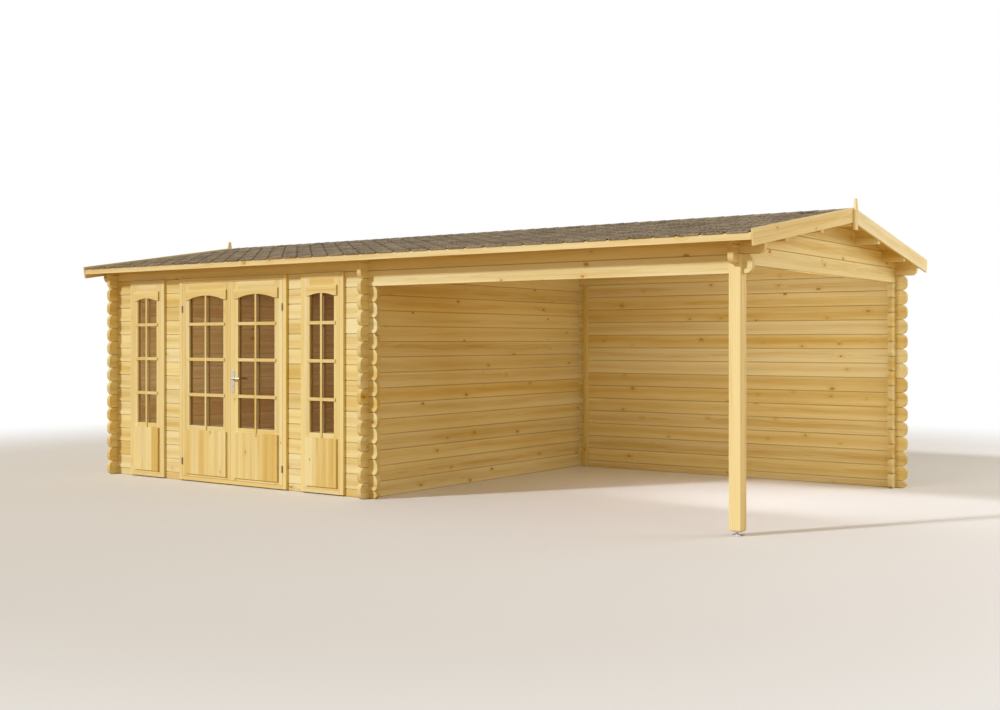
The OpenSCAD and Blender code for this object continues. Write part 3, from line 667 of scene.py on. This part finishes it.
# Roof timbers and boarding
TIMBER_EASE, TRIM_TONES = 0.002, 0.7
ROOF_PLANKS, ROOF_PLANK_GAP, ROOF_PLANK_GROOVE = 76, 0.0004, 0.003
BOARDING_THICK, BOARDING_RIDGE_GAP = 0.0192, 0.0002
steep = max(CAD["roof_boards_front"].data.polygons, key=lambda f: f.normal.z * f.area).normal
SLOPE = abs(steep.y / steep.z)
TILT = math.atan(SLOPE)
ROOF_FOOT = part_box("roof_boards_front")[0]


def down_slope(middle):
    """The fall line of the roof at a place."""
    return Vector((0, math.cos(TILT), -math.copysign(math.sin(TILT), middle.y)))


def sloped(x, run, height, side):
    """A point on a roof slope, by its run from the ridge and its height above the boarding's foot."""
    foot = ROOF_FOOT.z + (abs(ROOF_FOOT.y) - run) * SLOPE
    return Vector((x, side * run, foot + height))


def slope_block(bm, x0, x1, run0, run1, low, high, groove, side):
    """A roof board that runs down the slope, with a V groove along its lower edges."""
    section = [
        (x0 + groove, low), (x1 - groove, low), (x1, low + groove),
        (x1, high), (x0, high), (x0, low + groove),
    ]
    prism(bm, [[sloped(x, run, z, side) for x, z in section] for run in (run0, run1)])


for node in ("ridge_purlin", "side_purlins"):
    bm = copy_of(node)
    soften(bm, TIMBER_EASE)
    piece(node + "_timber", bm, "log_pine", "house", node)

for node in ("fascia_boards", "finials", "left_barge_boards", "right_barge_boards"):
    bm = copy_of(node)
    soften(bm, TIMBER_EASE)
    along = down_slope if node.endswith("barge_boards") else None
    piece(node + "_trim", bm, "board_pine", "house", node, along=along, tone_span=TRIM_TONES)

for side, node in ((-1, "roof_boards_front"), (1, "roof_boards_rear")):
    low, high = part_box(node)
    far = max(abs(low.y), abs(high.y))
    pitch = (high.x - low.x) / ROOF_PLANKS
    bm = bmesh.new()
    for i in range(ROOF_PLANKS):
        x0 = low.x + i * pitch
        x1 = x0 + pitch - ROOF_PLANK_GAP
        slope_block(bm, x0, x1, BOARDING_RIDGE_GAP, far, 0.0, BOARDING_THICK, ROOF_PLANK_GROOVE, side)
    piece(node + "_planks", bm, "roof_pine", "house", node, along=down_slope)

# Shingles: a sheet in painted shade that shows dark in the slots, and rows of tabs that each lap the row
# below; heights above the boarding's foot
SHEET_LOW, SHEET_HIGH, SHEET_RIDGE_GAP = 0.0196, 0.0268, 0.0003
EAVE_LIP = 0.02
TAB_WIDTH, TAB_SLOT, TAB_CUT, TAB_LEAST = 0.186, 0.020, 0.005, 0.03
TAB_ROWS, TAB_LAP, TAB_RIDGE_GAP = 21, 0.03, 0.001
ROW_STAGGER_SHARE, ROW_SHIFT = 0.5, 0.015
TAB_FOOT, TAB_HEAD, TAB_THICK, EAVE_TAB_THICK = 0.0315, 0.0270, 0.0042, 0.0116
TAB_DROP, TAB_LIFT = 0.0015, 0.0004


def tab(bm, x0, x1, run0, run1, foot, thick, side):
    """A shingle tab from its thick lower edge at run0 up to run1, with clipped lower corners."""
    outline = [
        (x0, run1, TAB_HEAD), (x0, run0 - TAB_CUT, foot), (x0 + TAB_CUT, run0, foot),
        (x1 - TAB_CUT, run0, foot), (x1, run0 - TAB_CUT, foot), (x1, run1, TAB_HEAD),
    ]
    under = [sloped(x, r, h - thick, side) for x, r, h in outline]
    over = [sloped(x, r, h, side) for x, r, h in outline]
    # The head corners are marked for the painted shade under the row above
    fade = bm.verts.layers.float["fade"]
    for ring in prism(bm, [under, over]):
        ring[0][fade] = ring[-1][fade] = 1.0


for side, node in ((-1, "shingles_front"), (1, "shingles_rear")):
    low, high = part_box(node)
    far = max(abs(low.y), abs(high.y))
    inner, outer = SHEET_RIDGE_GAP, far - EAVE_LIP
    section = [(inner, SHEET_LOW), (outer, SHEET_LOW), (outer, SHEET_HIGH), (inner, SHEET_HIGH)]
    bm = bmesh.new()
    prism(bm, [[sloped(x, r, z, side) for r, z in section] for x in (low.x, high.x)])
    piece(node + "_base", bm, "bitumen_shingle", "house", look="bitumen_slot", along="x")

    dice = random.Random(node)
    bm = bmesh.new()
    bm.verts.layers.float.new("fade")
    reveal = outer / TAB_ROWS
    for row in range(TAB_ROWS):
        start = far - row * reveal
        end = max(start - reveal - TAB_LAP, TAB_RIDGE_GAP)
        thick = TAB_THICK if row else EAVE_TAB_THICK
        x = low.x - (0.0 if row % 2 else ROW_STAGGER_SHARE) * TAB_WIDTH - ROW_SHIFT
        while x < high.x:
            x0, x1 = max(x, low.x), min(x + TAB_WIDTH - TAB_SLOT, high.x)
            if x1 - x0 > TAB_LEAST:
                drop = dice.uniform(-TAB_DROP, TAB_DROP) if row else 0.0
                lift = dice.uniform(-TAB_LIFT, TAB_LIFT)
                tab(bm, x0, x1, start + drop, end, TAB_FOOT + lift, thick, side)
            x += TAB_WIDTH
    piece(node + "_tabs", bm, "bitumen_shingle", "house", node, along="x")

# Ridge caps, each bent over the ridge and lapped by the next
CAPS, CAP_LAP = 52, 0.04
CAP_FOOT, CAP_HEAD, CAP_UNDER, CAP_LIFT = 0.0430, 0.0390, 0.0312, 0.0012
CAP_REACH, CAP_REACH_SPREAD = 0.11, 0.003
CAP_BEND, CAP_BEND_RISE, CAP_CROWN, CAP_EDGE_DROP = 0.012, 0.0005, 0.0012, 0.006

dice = random.Random("ridge")
bm = bmesh.new()
low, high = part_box("shingles_front")
step = (high.x - low.x) / CAPS
for i in range(CAPS):
    x1 = high.x - i * step
    x0 = max(x1 - step - CAP_LAP, low.x)
    lift = dice.uniform(0.0, CAP_LIFT)
    rings = []
    for x, h in ((x1, CAP_FOOT + lift), (x0, CAP_HEAD)):
        reach = CAP_REACH + dice.uniform(-CAP_REACH_SPREAD, CAP_REACH_SPREAD)
        edge, bend, crown = h - CAP_EDGE_DROP, h + CAP_BEND_RISE, h + CAP_CROWN
        across = [
            (reach, -1, edge), (CAP_BEND, -1, bend), (0.0, 1, crown), (CAP_BEND, 1, bend), (reach, 1, edge),
        ]
        upper = [sloped(x, run, height, side) for run, side, height in across]
        lower = [sloped(x, run, CAP_UNDER, side) for run, side, _ in reversed(across)]
        rings.append(upper + lower)
    prism(bm, rings)
piece("ridge_caps", bm, "bitumen_shingle", "house", along="x", sharp=40.0)

# Floor of the room
FLOOR_PLANKS, FLOOR_PLANK_GAP, FLOOR_EASE = 35, 0.0005, 0.0012

bm = copy_of("floor_bearers")
soften(bm, TIMBER_EASE)
piece("bearers", bm, "floor_pine", "house", "floor_bearers")

low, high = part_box("room_floor")
pitch = (high.x - low.x) / FLOOR_PLANKS
bm = bmesh.new()
for i in range(FLOOR_PLANKS):
    x0 = low.x + i * pitch
    block(bm, (x0, low.y, low.z), (x0 + pitch - FLOOR_PLANK_GAP, high.y, high.z), FLOOR_EASE, segments=1)
piece("floor_planks", bm, "floor_pine", "house", "room_floor", along="y")

# Frames, leaves and sashes
FRAME_EASE, LEAF_EASE, ARCH_EASE, JOINERY_EASE_ANGLE = 0.0022, 0.0018, 0.0016, 60.0
FRAME_TONES, ARCH_TONES, PANEL_TONES, BAR_TONES = 0.7, 0.6, 1.9, 0.5
RIM, MEETING = 0.0034, 0.0024
OUTWARD = {"left_leaf": (RIM, MEETING), "right_leaf": (MEETING, RIM)}
PANEL_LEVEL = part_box("left_leaf_glass")[0].z
PANEL_BOARD, PANEL_BOARDS_LEAST = 0.097, 3
PANEL_GAP, PANEL_EASE = 0.0004, 0.0018


def draw_out(bm, low, high, left, right, rim):
    """Moves the outer faces of a leaf towards its frame, which leaves the narrow joint of a hung door."""
    for v in bm.verts:
        if abs(v.co.x - low.x) < SAME_PLANE:
            v.co.x -= left
        if abs(v.co.x - high.x) < SAME_PLANE:
            v.co.x += right
        if abs(v.co.z - low.z) < SAME_PLANE:
            v.co.z -= rim
        if abs(v.co.z - high.z) < SAME_PLANE:
            v.co.z += rim


def panel_boards(bm, low, high):
    """Upright tongued boards in the place of a raised panel."""
    count = max(PANEL_BOARDS_LEAST, round((high.x - low.x) / PANEL_BOARD))
    pitch = (high.x - low.x) / count
    for i in range(count):
        x0 = low.x + i * pitch
        block(bm, (x0, low.y, low.z), (x0 + pitch - PANEL_GAP, high.y, high.z), PANEL_EASE)


for node in ("door_frame", "window_frames"):
    bm = copy_of(node)
    soften(bm, FRAME_EASE)
    piece(node + "_timber", bm, "joinery_pine", "house", node, tone_span=FRAME_TONES)

for node, body in (("window_sashes", "house"), ("left_leaf", "left_door"), ("right_leaf", "right_door")):
    bm = copy_of(node)
    if node in OUTWARD:
        draw_out(bm, *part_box(node), *OUTWARD[node], RIM)
    soften(bm, LEAF_EASE, angle=JOINERY_EASE_ANGLE)
    piece(node + "_timber", bm, "joinery_pine", body, node, tone_span=FRAME_TONES)

for node, body in (
    ("window_boards", "house"),
    ("left_leaf_boards", "left_door"),
    ("right_leaf_boards", "right_door"),
):
    arches = copy_of(node)
    panels = bmesh.new()
    for group in groups(arches):
        low, high = extent([v.co for v in group])
        if low.z < PANEL_LEVEL:
            panel_boards(panels, low, high)
            bmesh.ops.delete(arches, geom=group, context="VERTS")
    soften(arches, ARCH_EASE, angle=JOINERY_EASE_ANGLE)
    piece(node + "_arch", arches, "joinery_pine", body, along="x", tone_span=ARCH_TONES)
    piece(node + "_panel", panels, "joinery_pine", body, node, along="z", tone_span=PANEL_TONES)

# Glass and its bars: heights above the pane's foot, half sizes, lap over the frame, gaps, and beads
BAR_RISES = (0.2997, 0.6417, 0.9817)
BAR_HALF, BAR_TALL, BAR_LAP, BAR_PROUD, BAR_GAP = 0.0115, 0.015, 0.020, 0.009, 0.0003
BAR_FOOT, BAR_HEAD, ARCH_RISE_SHARE, BAR_DEPTH = 0.040, 0.0425, 0.077, 0.013
BEAD, BEAD_EASE = 0.011, 0.003


def glazing_bars(bm, low, high, face):
    """Bars over one pane: a grid outside that laps the frame, a grid inside on the glass, and beads."""
    middle = (low.x + high.x) / 2
    left, right = middle - BAR_HALF, middle + BAR_HALF
    left_end, right_start = left - BAR_GAP, right + BAR_GAP
    front, back = face - BAR_GAP, high.y + BAR_GAP
    head = high.z - BAR_HEAD + (high.x - low.x) * ARCH_RISE_SHARE
    inside = high.y + BAR_DEPTH
    block(bm, (left, face - BAR_PROUD, low.z - BAR_FOOT), (right, front, head))
    block(bm, (left, back, low.z + BAR_GAP), (right, inside, high.z - BAR_GAP))
    for rise in BAR_RISES:
        under, over = low.z + rise - BAR_TALL, low.z + rise + BAR_TALL
        for x0, x1, inner0, inner1 in (
            (low.x - BAR_LAP, left_end, low.x + BAR_GAP, left_end),
            (right_start, high.x + BAR_LAP, right_start, high.x - BAR_GAP),
        ):
            block(bm, (x0, face - BAR_PROUD, under), (x1, front, over))
            block(bm, (inner0, back, under), (inner1, inside, over))
    bead_back = high.y + BEAD
    block(bm, (low.x, back, low.z), (low.x + BEAD, bead_back, high.z), BEAD_EASE)
    block(bm, (high.x - BEAD, back, low.z), (high.x, bead_back, high.z), BEAD_EASE)
    for z0 in (low.z, high.z - BEAD):
        block(bm, (low.x + BEAD, back, z0), (left_end, bead_back, z0 + BEAD), BEAD_EASE)
        block(bm, (right_start, back, z0), (high.x - BEAD, bead_back, z0 + BEAD), BEAD_EASE)


for glass, leaf, body in (
    ("window_glass", "window_sashes", "house"),
    ("left_leaf_glass", "left_leaf", "left_door"),
    ("right_leaf_glass", "right_leaf", "right_door"),
):
    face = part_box(leaf)[0].y
    bm = bmesh.new()
    for low, high in solids(glass):
        glazing_bars(bm, low, high, face)
    piece(leaf + "_bars", bm, "joinery_pine", body, tone_span=BAR_TONES)
    piece(glass + "_pane", copy_of(glass), "glass", body, glass)

# Hinges: caps on the barrels and screws in the flags
JOINT_PLACES = {joint["name"]: joint["pos_m"] for joint in frame["record"]["behaviour"]["joints"]}
LEAF_FRONT, LEAF_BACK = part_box("right_leaf")[0].y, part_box("right_leaf")[1].y
DOOR_MIDDLE_X = sum(corner.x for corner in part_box("door_frame")) / 2
HINGE_EASE = 0.0005
BARREL_HALF, BARREL_Y = 0.006, JOINT_PLACES["left_door_hinge"][1]
FLAG_PROUD, FLAG_NUDGE = 0.0026, 0.002
HINGE_CAP = [(0, 0.0058), (0.0012, 0.0062), (0.003, 0.005), (0.0042, 0.0022)]
HINGE_SCREW = [(0, 0.0034), (0.0006, 0.003), (0.001, 0.0015)]
SCREW_SHARES, FRAME_FLAG_TALL = (0.28, 0.72), 0.03

for node, body in (
    ("frame_hinges", "house"),
    ("left_leaf_hinges", "left_door"),
    ("right_leaf_hinges", "right_door"),
):
    bm = copy_of(node)
    spots = [extent([v.co for v in g]) for g in groups(bm)]
    soften(bm, HINGE_EASE, segments=1)
    on_frame = body == "house"
    for low, high in spots:
        barrel_left = body == "left_door" or (on_frame and low.x > DOOR_MIDDLE_X)
        barrel = low.x + BARREL_HALF if barrel_left else high.x - BARREL_HALF
        flag = (barrel + (high.x if barrel_left else low.x)) / 2
        flag += FLAG_NUDGE if flag > barrel else -FLAG_NUDGE
        tip, way = (low.z, -1) if on_frame else (high.z, 1)
        turned(bm, (barrel, BARREL_Y, tip), (0, 0, way), HINGE_CAP, sides=20)
        tall = FRAME_FLAG_TALL if on_frame else high.z - low.z
        for share in SCREW_SHARES:
            spot = (flag, LEAF_FRONT - FLAG_PROUD, low.z + share * tall)
            turned(bm, spot, (0, -1, 0), HINGE_SCREW, sides=14)
    piece(node + "_steel", bm, "hinge_steel", body, node, along="z")

# Handle plates, outside and inside, with a collar, screws and a keyhole's cover on each
SPINDLE_X, _, SPINDLE_Z = JOINT_PLACES["lever_turn"]
PLATE_CORNER, CORNER_STEPS, PLATE_THICK, PLATE_HALF_TALL = 0.012, 6, 0.003, 0.1085
PLATE_PROFILE = ((0.0, 0.0), (0.0018, 0.0), (0.0026, 0.0006), (PLATE_THICK, 0.0018))
COLLAR = [(0, 0.0165), (0.003, 0.0165), (0.0042, 0.0155), (0.0044, 0.0105)]
PLATE_SCREW, PLATE_SCREW_REACH = [(0, 0.0042), (0.0008, 0.0038), (0.0014, 0.002)], 0.094
LOCK_DROP, LOCK_EASE = 0.042, 0.0006
LOCK_ROUND, LOCK_ROUND_RISE = [(0, 0.0086), (0.0014, 0.0086), (0.002, 0.0078), (0.0021, 0.003)], 0.0075
LOCK_HALF, LOCK_PROUD, LOCK_BELOW, LOCK_ABOVE = 0.005, 0.0018, 0.0165, 0.004

bm = bmesh.new()
for low, high in solids("handle_plates"):
    outer = low.y < LEAF_FRONT
    way, base = (-1, high.y) if outer else (1, low.y)
    half, half_tall, middle_z = (high.x - low.x) / 2, (high.z - low.z) / 2, (low.z + high.z) / 2
    section = []
    for cx, cz, start in ((1, 1, 0), (-1, 1, 90), (-1, -1, 180), (1, -1, 270)):
        for k in range(CORNER_STEPS + 1):
            t = math.radians(start + 90 * k / CORNER_STEPS)
            x = cx * (half - PLATE_CORNER) + PLATE_CORNER * math.cos(t)
            z = cz * (half_tall - PLATE_CORNER) + PLATE_CORNER * math.sin(t)
            section.append((x, z))
    rings = []
    for depth, inset in PLATE_PROFILE:
        narrow, short = 1 - inset / half, 1 - inset / PLATE_HALF_TALL
        y = base + way * depth
        rings.append([Vector((SPINDLE_X + x * narrow, y, middle_z + z * short)) for x, z in section])
    prism(bm, rings)
    front, out = base + way * PLATE_THICK, (0, way, 0)
    turned(bm, (SPINDLE_X, front, SPINDLE_Z), out, COLLAR, sides=32)
    for dz in (-PLATE_SCREW_REACH, PLATE_SCREW_REACH):
        turned(bm, (SPINDLE_X, front, middle_z + dz), out, PLATE_SCREW, sides=18)
    lock = middle_z - LOCK_DROP
    turned(bm, (SPINDLE_X, front, lock + LOCK_ROUND_RISE), out, LOCK_ROUND, sides=28)
    near, proud = sorted((front, front + way * LOCK_PROUD))
    block(
        bm,
        (SPINDLE_X - LOCK_HALF, near, lock - LOCK_BELOW),
        (SPINDLE_X + LOCK_HALF, proud, lock + LOCK_ABOVE),
        LOCK_EASE,
    )
piece("plates", bm, "handle_steel", "right_door", "handle_plates", along="z", tone_span=0.0)

# Lever: a neck, a bend and a slightly bowed grip on each side of the leaf, on one spindle
NECK_GAP = 0.0003
NECK_ROOTS = ((-1, LEAF_FRONT - NECK_GAP), (1, LEAF_BACK + NECK_GAP))
NECK_STEPS, BEND_STEPS, GRIP_STEPS = 5, 8, 12
REACH, GRIP_LENGTH, BEND = 0.038, 0.125, 0.017
NECK_RADIUS, NECK_TAPER = 0.008, 0.0006
BEND_RADIUS, BEND_THINNER, BEND_TALLER = 0.0074, 0.0012, 0.001
GRIP_HALF, GRIP_TALL, GRIP_FLARE, TIP_TALL = 0.0062, 0.0084, 0.0006, 0.009
GRIP_TIP, GRIP_RETURN, GRIP_BOW, GRIP_BOW_SHARE = 0.006, 0.004, 0.003, 0.4
TIP = ((0.004, 0.9), (0.0055, 0.7), (0.006, 0.35))
SPINDLE_HALF, SPINDLE_PROUD, SPINDLE_EASE = 0.004, 0.0005, 0.0004

bm = bmesh.new()
for way, base in NECK_ROOTS:
    path, sizes = [], []
    for k in range(NECK_STEPS + 1):
        path.append((SPINDLE_X, base + way * (REACH - BEND) * k / NECK_STEPS, SPINDLE_Z))
        radius = NECK_RADIUS - NECK_TAPER * k / NECK_STEPS
        sizes.append((radius, radius))
    for k in range(1, BEND_STEPS + 1):
        s = k / BEND_STEPS
        t = math.radians(90 * s)
        y = base + way * (REACH - BEND + BEND * math.sin(t))
        path.append((SPINDLE_X + BEND * (1 - math.cos(t)), y, SPINDLE_Z))
        sizes.append((BEND_RADIUS - BEND_THINNER * s, BEND_RADIUS + BEND_TALLER * s))
    for k in range(1, GRIP_STEPS + 1):
        s = k / GRIP_STEPS
        bow = math.sin(math.pi * s) * GRIP_BOW
        y = base + way * (REACH + bow * GRIP_BOW_SHARE - GRIP_RETURN * s * s)
        path.append((SPINDLE_X + BEND + (GRIP_LENGTH - BEND - GRIP_TIP) * s, y, SPINDLE_Z))
        sizes.append((GRIP_HALF, GRIP_TALL + GRIP_FLARE * s))
    for beyond, share in TIP:
        x = SPINDLE_X + GRIP_LENGTH - GRIP_TIP + beyond
        path.append((x, base + way * (REACH - GRIP_RETURN), SPINDLE_Z))
        sizes.append((GRIP_HALF * share, TIP_TALL * share))
    swept(bm, path, sizes)
block(
    bm,
    (SPINDLE_X - SPINDLE_HALF, LEAF_FRONT - SPINDLE_PROUD, SPINDLE_Z - SPINDLE_HALF),
    (SPINDLE_X + SPINDLE_HALF, LEAF_BACK + SPINDLE_PROUD, SPINDLE_Z + SPINDLE_HALF),
    SPINDLE_EASE,
    segments=1,
)
piece("lever", bm, "handle_steel", "lever", "lever_handle", along="x", sharp=40.0, tone_span=0.0)

# Floor of the studio: it bounces warm light, shows pale, and fades to white far from the house
GROUND_RADIUS, GROUND_SIDES, GROUND_DROP = 40.0, 96, 0.0005
GROUND_BOUNCE, GROUND_SEEN = rgb(198, 162, 110), rgb(238, 241, 250)
FADE_START, FADE_END = 6.0, 11.0
WHITE = (1.0, 1.0, 1.0)

mesh = bpy.data.meshes.new("ground")
bm = bmesh.new()
bmesh.ops.create_circle(bm, cap_ends=True, segments=GROUND_SIDES, radius=GROUND_RADIUS)
bm.to_mesh(mesh)
bm.free()
ground = bpy.data.objects.new("ground", mesh)
ground.location = (0, 0, -GROUND_DROP)
bpy.context.scene.collection.objects.link(ground)
ground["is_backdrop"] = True
p = Paint("ground", Roughness=0.9, Specular_IOR_Level=0.1)
p.paint("Base Color", p.mix(p.node("LightPath", {}, "Is Camera Ray"), GROUND_BOUNCE, GROUND_SEEN))
x, y, _ = p.split(p.node("TexCoord", {}, "Object"))
far = p.ease(p.length(x, y), FADE_START, FADE_END)
white = p.node("Emission", {"Color": WHITE, "Strength": 1.0})
blend = p.node("MixShader", {0: p.times(far, p.backdrop_rays()), 1: p.shader.outputs[0], 2: white})
p.feed(p.output.inputs[0], blend)
mesh.materials.append(p.material)

# Soft light from all round, in front of a white background
SOFT_COLOUR, SOFT_STRENGTH = (1.0, 0.82, 0.54), 0.495

world = bpy.data.worlds.new("studio")
bpy.context.scene.world = world
world.use_nodes = True
w = Nodes(world.node_tree)
soft = w.node("Background", {"Color": SOFT_COLOUR, "Strength": SOFT_STRENGTH})
plain = w.node("Background", {"Color": WHITE, "Strength": 1.0})
blend = w.node("MixShader", {0: w.backdrop_rays(), 1: soft, 2: plain})
w.feed(w.tree.nodes.new("ShaderNodeOutputWorld").inputs[0], blend)

# Lamps: (name, power, place, aim, width, height, colour)
SUN_POWER, SUN_PLACE, SUN_ANGLE = 1.97, (-6.2, -10.0, 5.9), math.radians(4.5)
WARM = (1.0, 0.79, 0.52)
PANELS = (
    ("fill", 27.0, (8.5, -3.6, 2.6), (2.8, 1.2, 1.2), 3.0, 3.0, WHITE),
    ("side", 228.0, (9.0, 4.5, 4.0), (3.4, 0.0, 1.8), 5.0, 4.0, WHITE),
    ("porch", 17.5, (2.8, -0.8, 1.35), (2.95, 1.7, 1.6), 0.9, 0.6, WHITE),
    ("room", 12.5, (-1.9, 0.2, 1.95), (-1.9, 0.2, 0.0), 2.4, 2.4, WARM),
    ("corner", 4.6, (-2.5, -1.2, 1.2), (-3.4, -1.35, 1.15), 0.7, 1.6, WARM),
)


def lamp(name, kind, energy, place, aim, **settings):
    """Adds a lamp that looks from its place to its aim."""
    data = bpy.data.lights.new(name, kind)
    data.energy = energy
    for key, value in settings.items():
        setattr(data, key, value)
    made = bpy.data.objects.new(name, data)
    made.location = place
    made.rotation_mode = "QUATERNION"
    made.rotation_quaternion = (Vector(aim) - Vector(place)).to_track_quat("-Z", "Y")
    bpy.context.scene.collection.objects.link(made)
    return made


lamp("key", "SUN", SUN_POWER, SUN_PLACE, (0, 0, 0), angle=SUN_ANGLE)
for name, power, place, aim, wide, tall, colour in PANELS:
    made = lamp(name, "AREA", power, place, aim, shape="RECTANGLE", size=wide, size_y=tall, color=colour)
    made.visible_camera = False
    made.visible_glossy = False

# The photograph's camera
LENS, SENSOR_WIDTH, SHIFT_Y, CLIP_END = 43.71, 36.0, -0.01366, 200.0
CAMERA_PLACE, CAMERA_PITCH, CAMERA_YAW = (7.0634, -9.6247, 1.3619), math.radians(90), math.radians(35.627)

camera = bpy.data.objects.new("camera", bpy.data.cameras.new("camera"))
camera.data.lens = LENS
camera.data.sensor_width = SENSOR_WIDTH
camera.data.shift_y = SHIFT_Y
camera.data.clip_end = CLIP_END
camera.location = CAMERA_PLACE
camera.rotation_euler = (CAMERA_PITCH, 0, CAMERA_YAW)
bpy.context.scene.collection.objects.link(camera)
bpy.context.scene.camera = camera
bpy.context.scene.view_settings.view_transform = "Standard"

low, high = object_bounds()
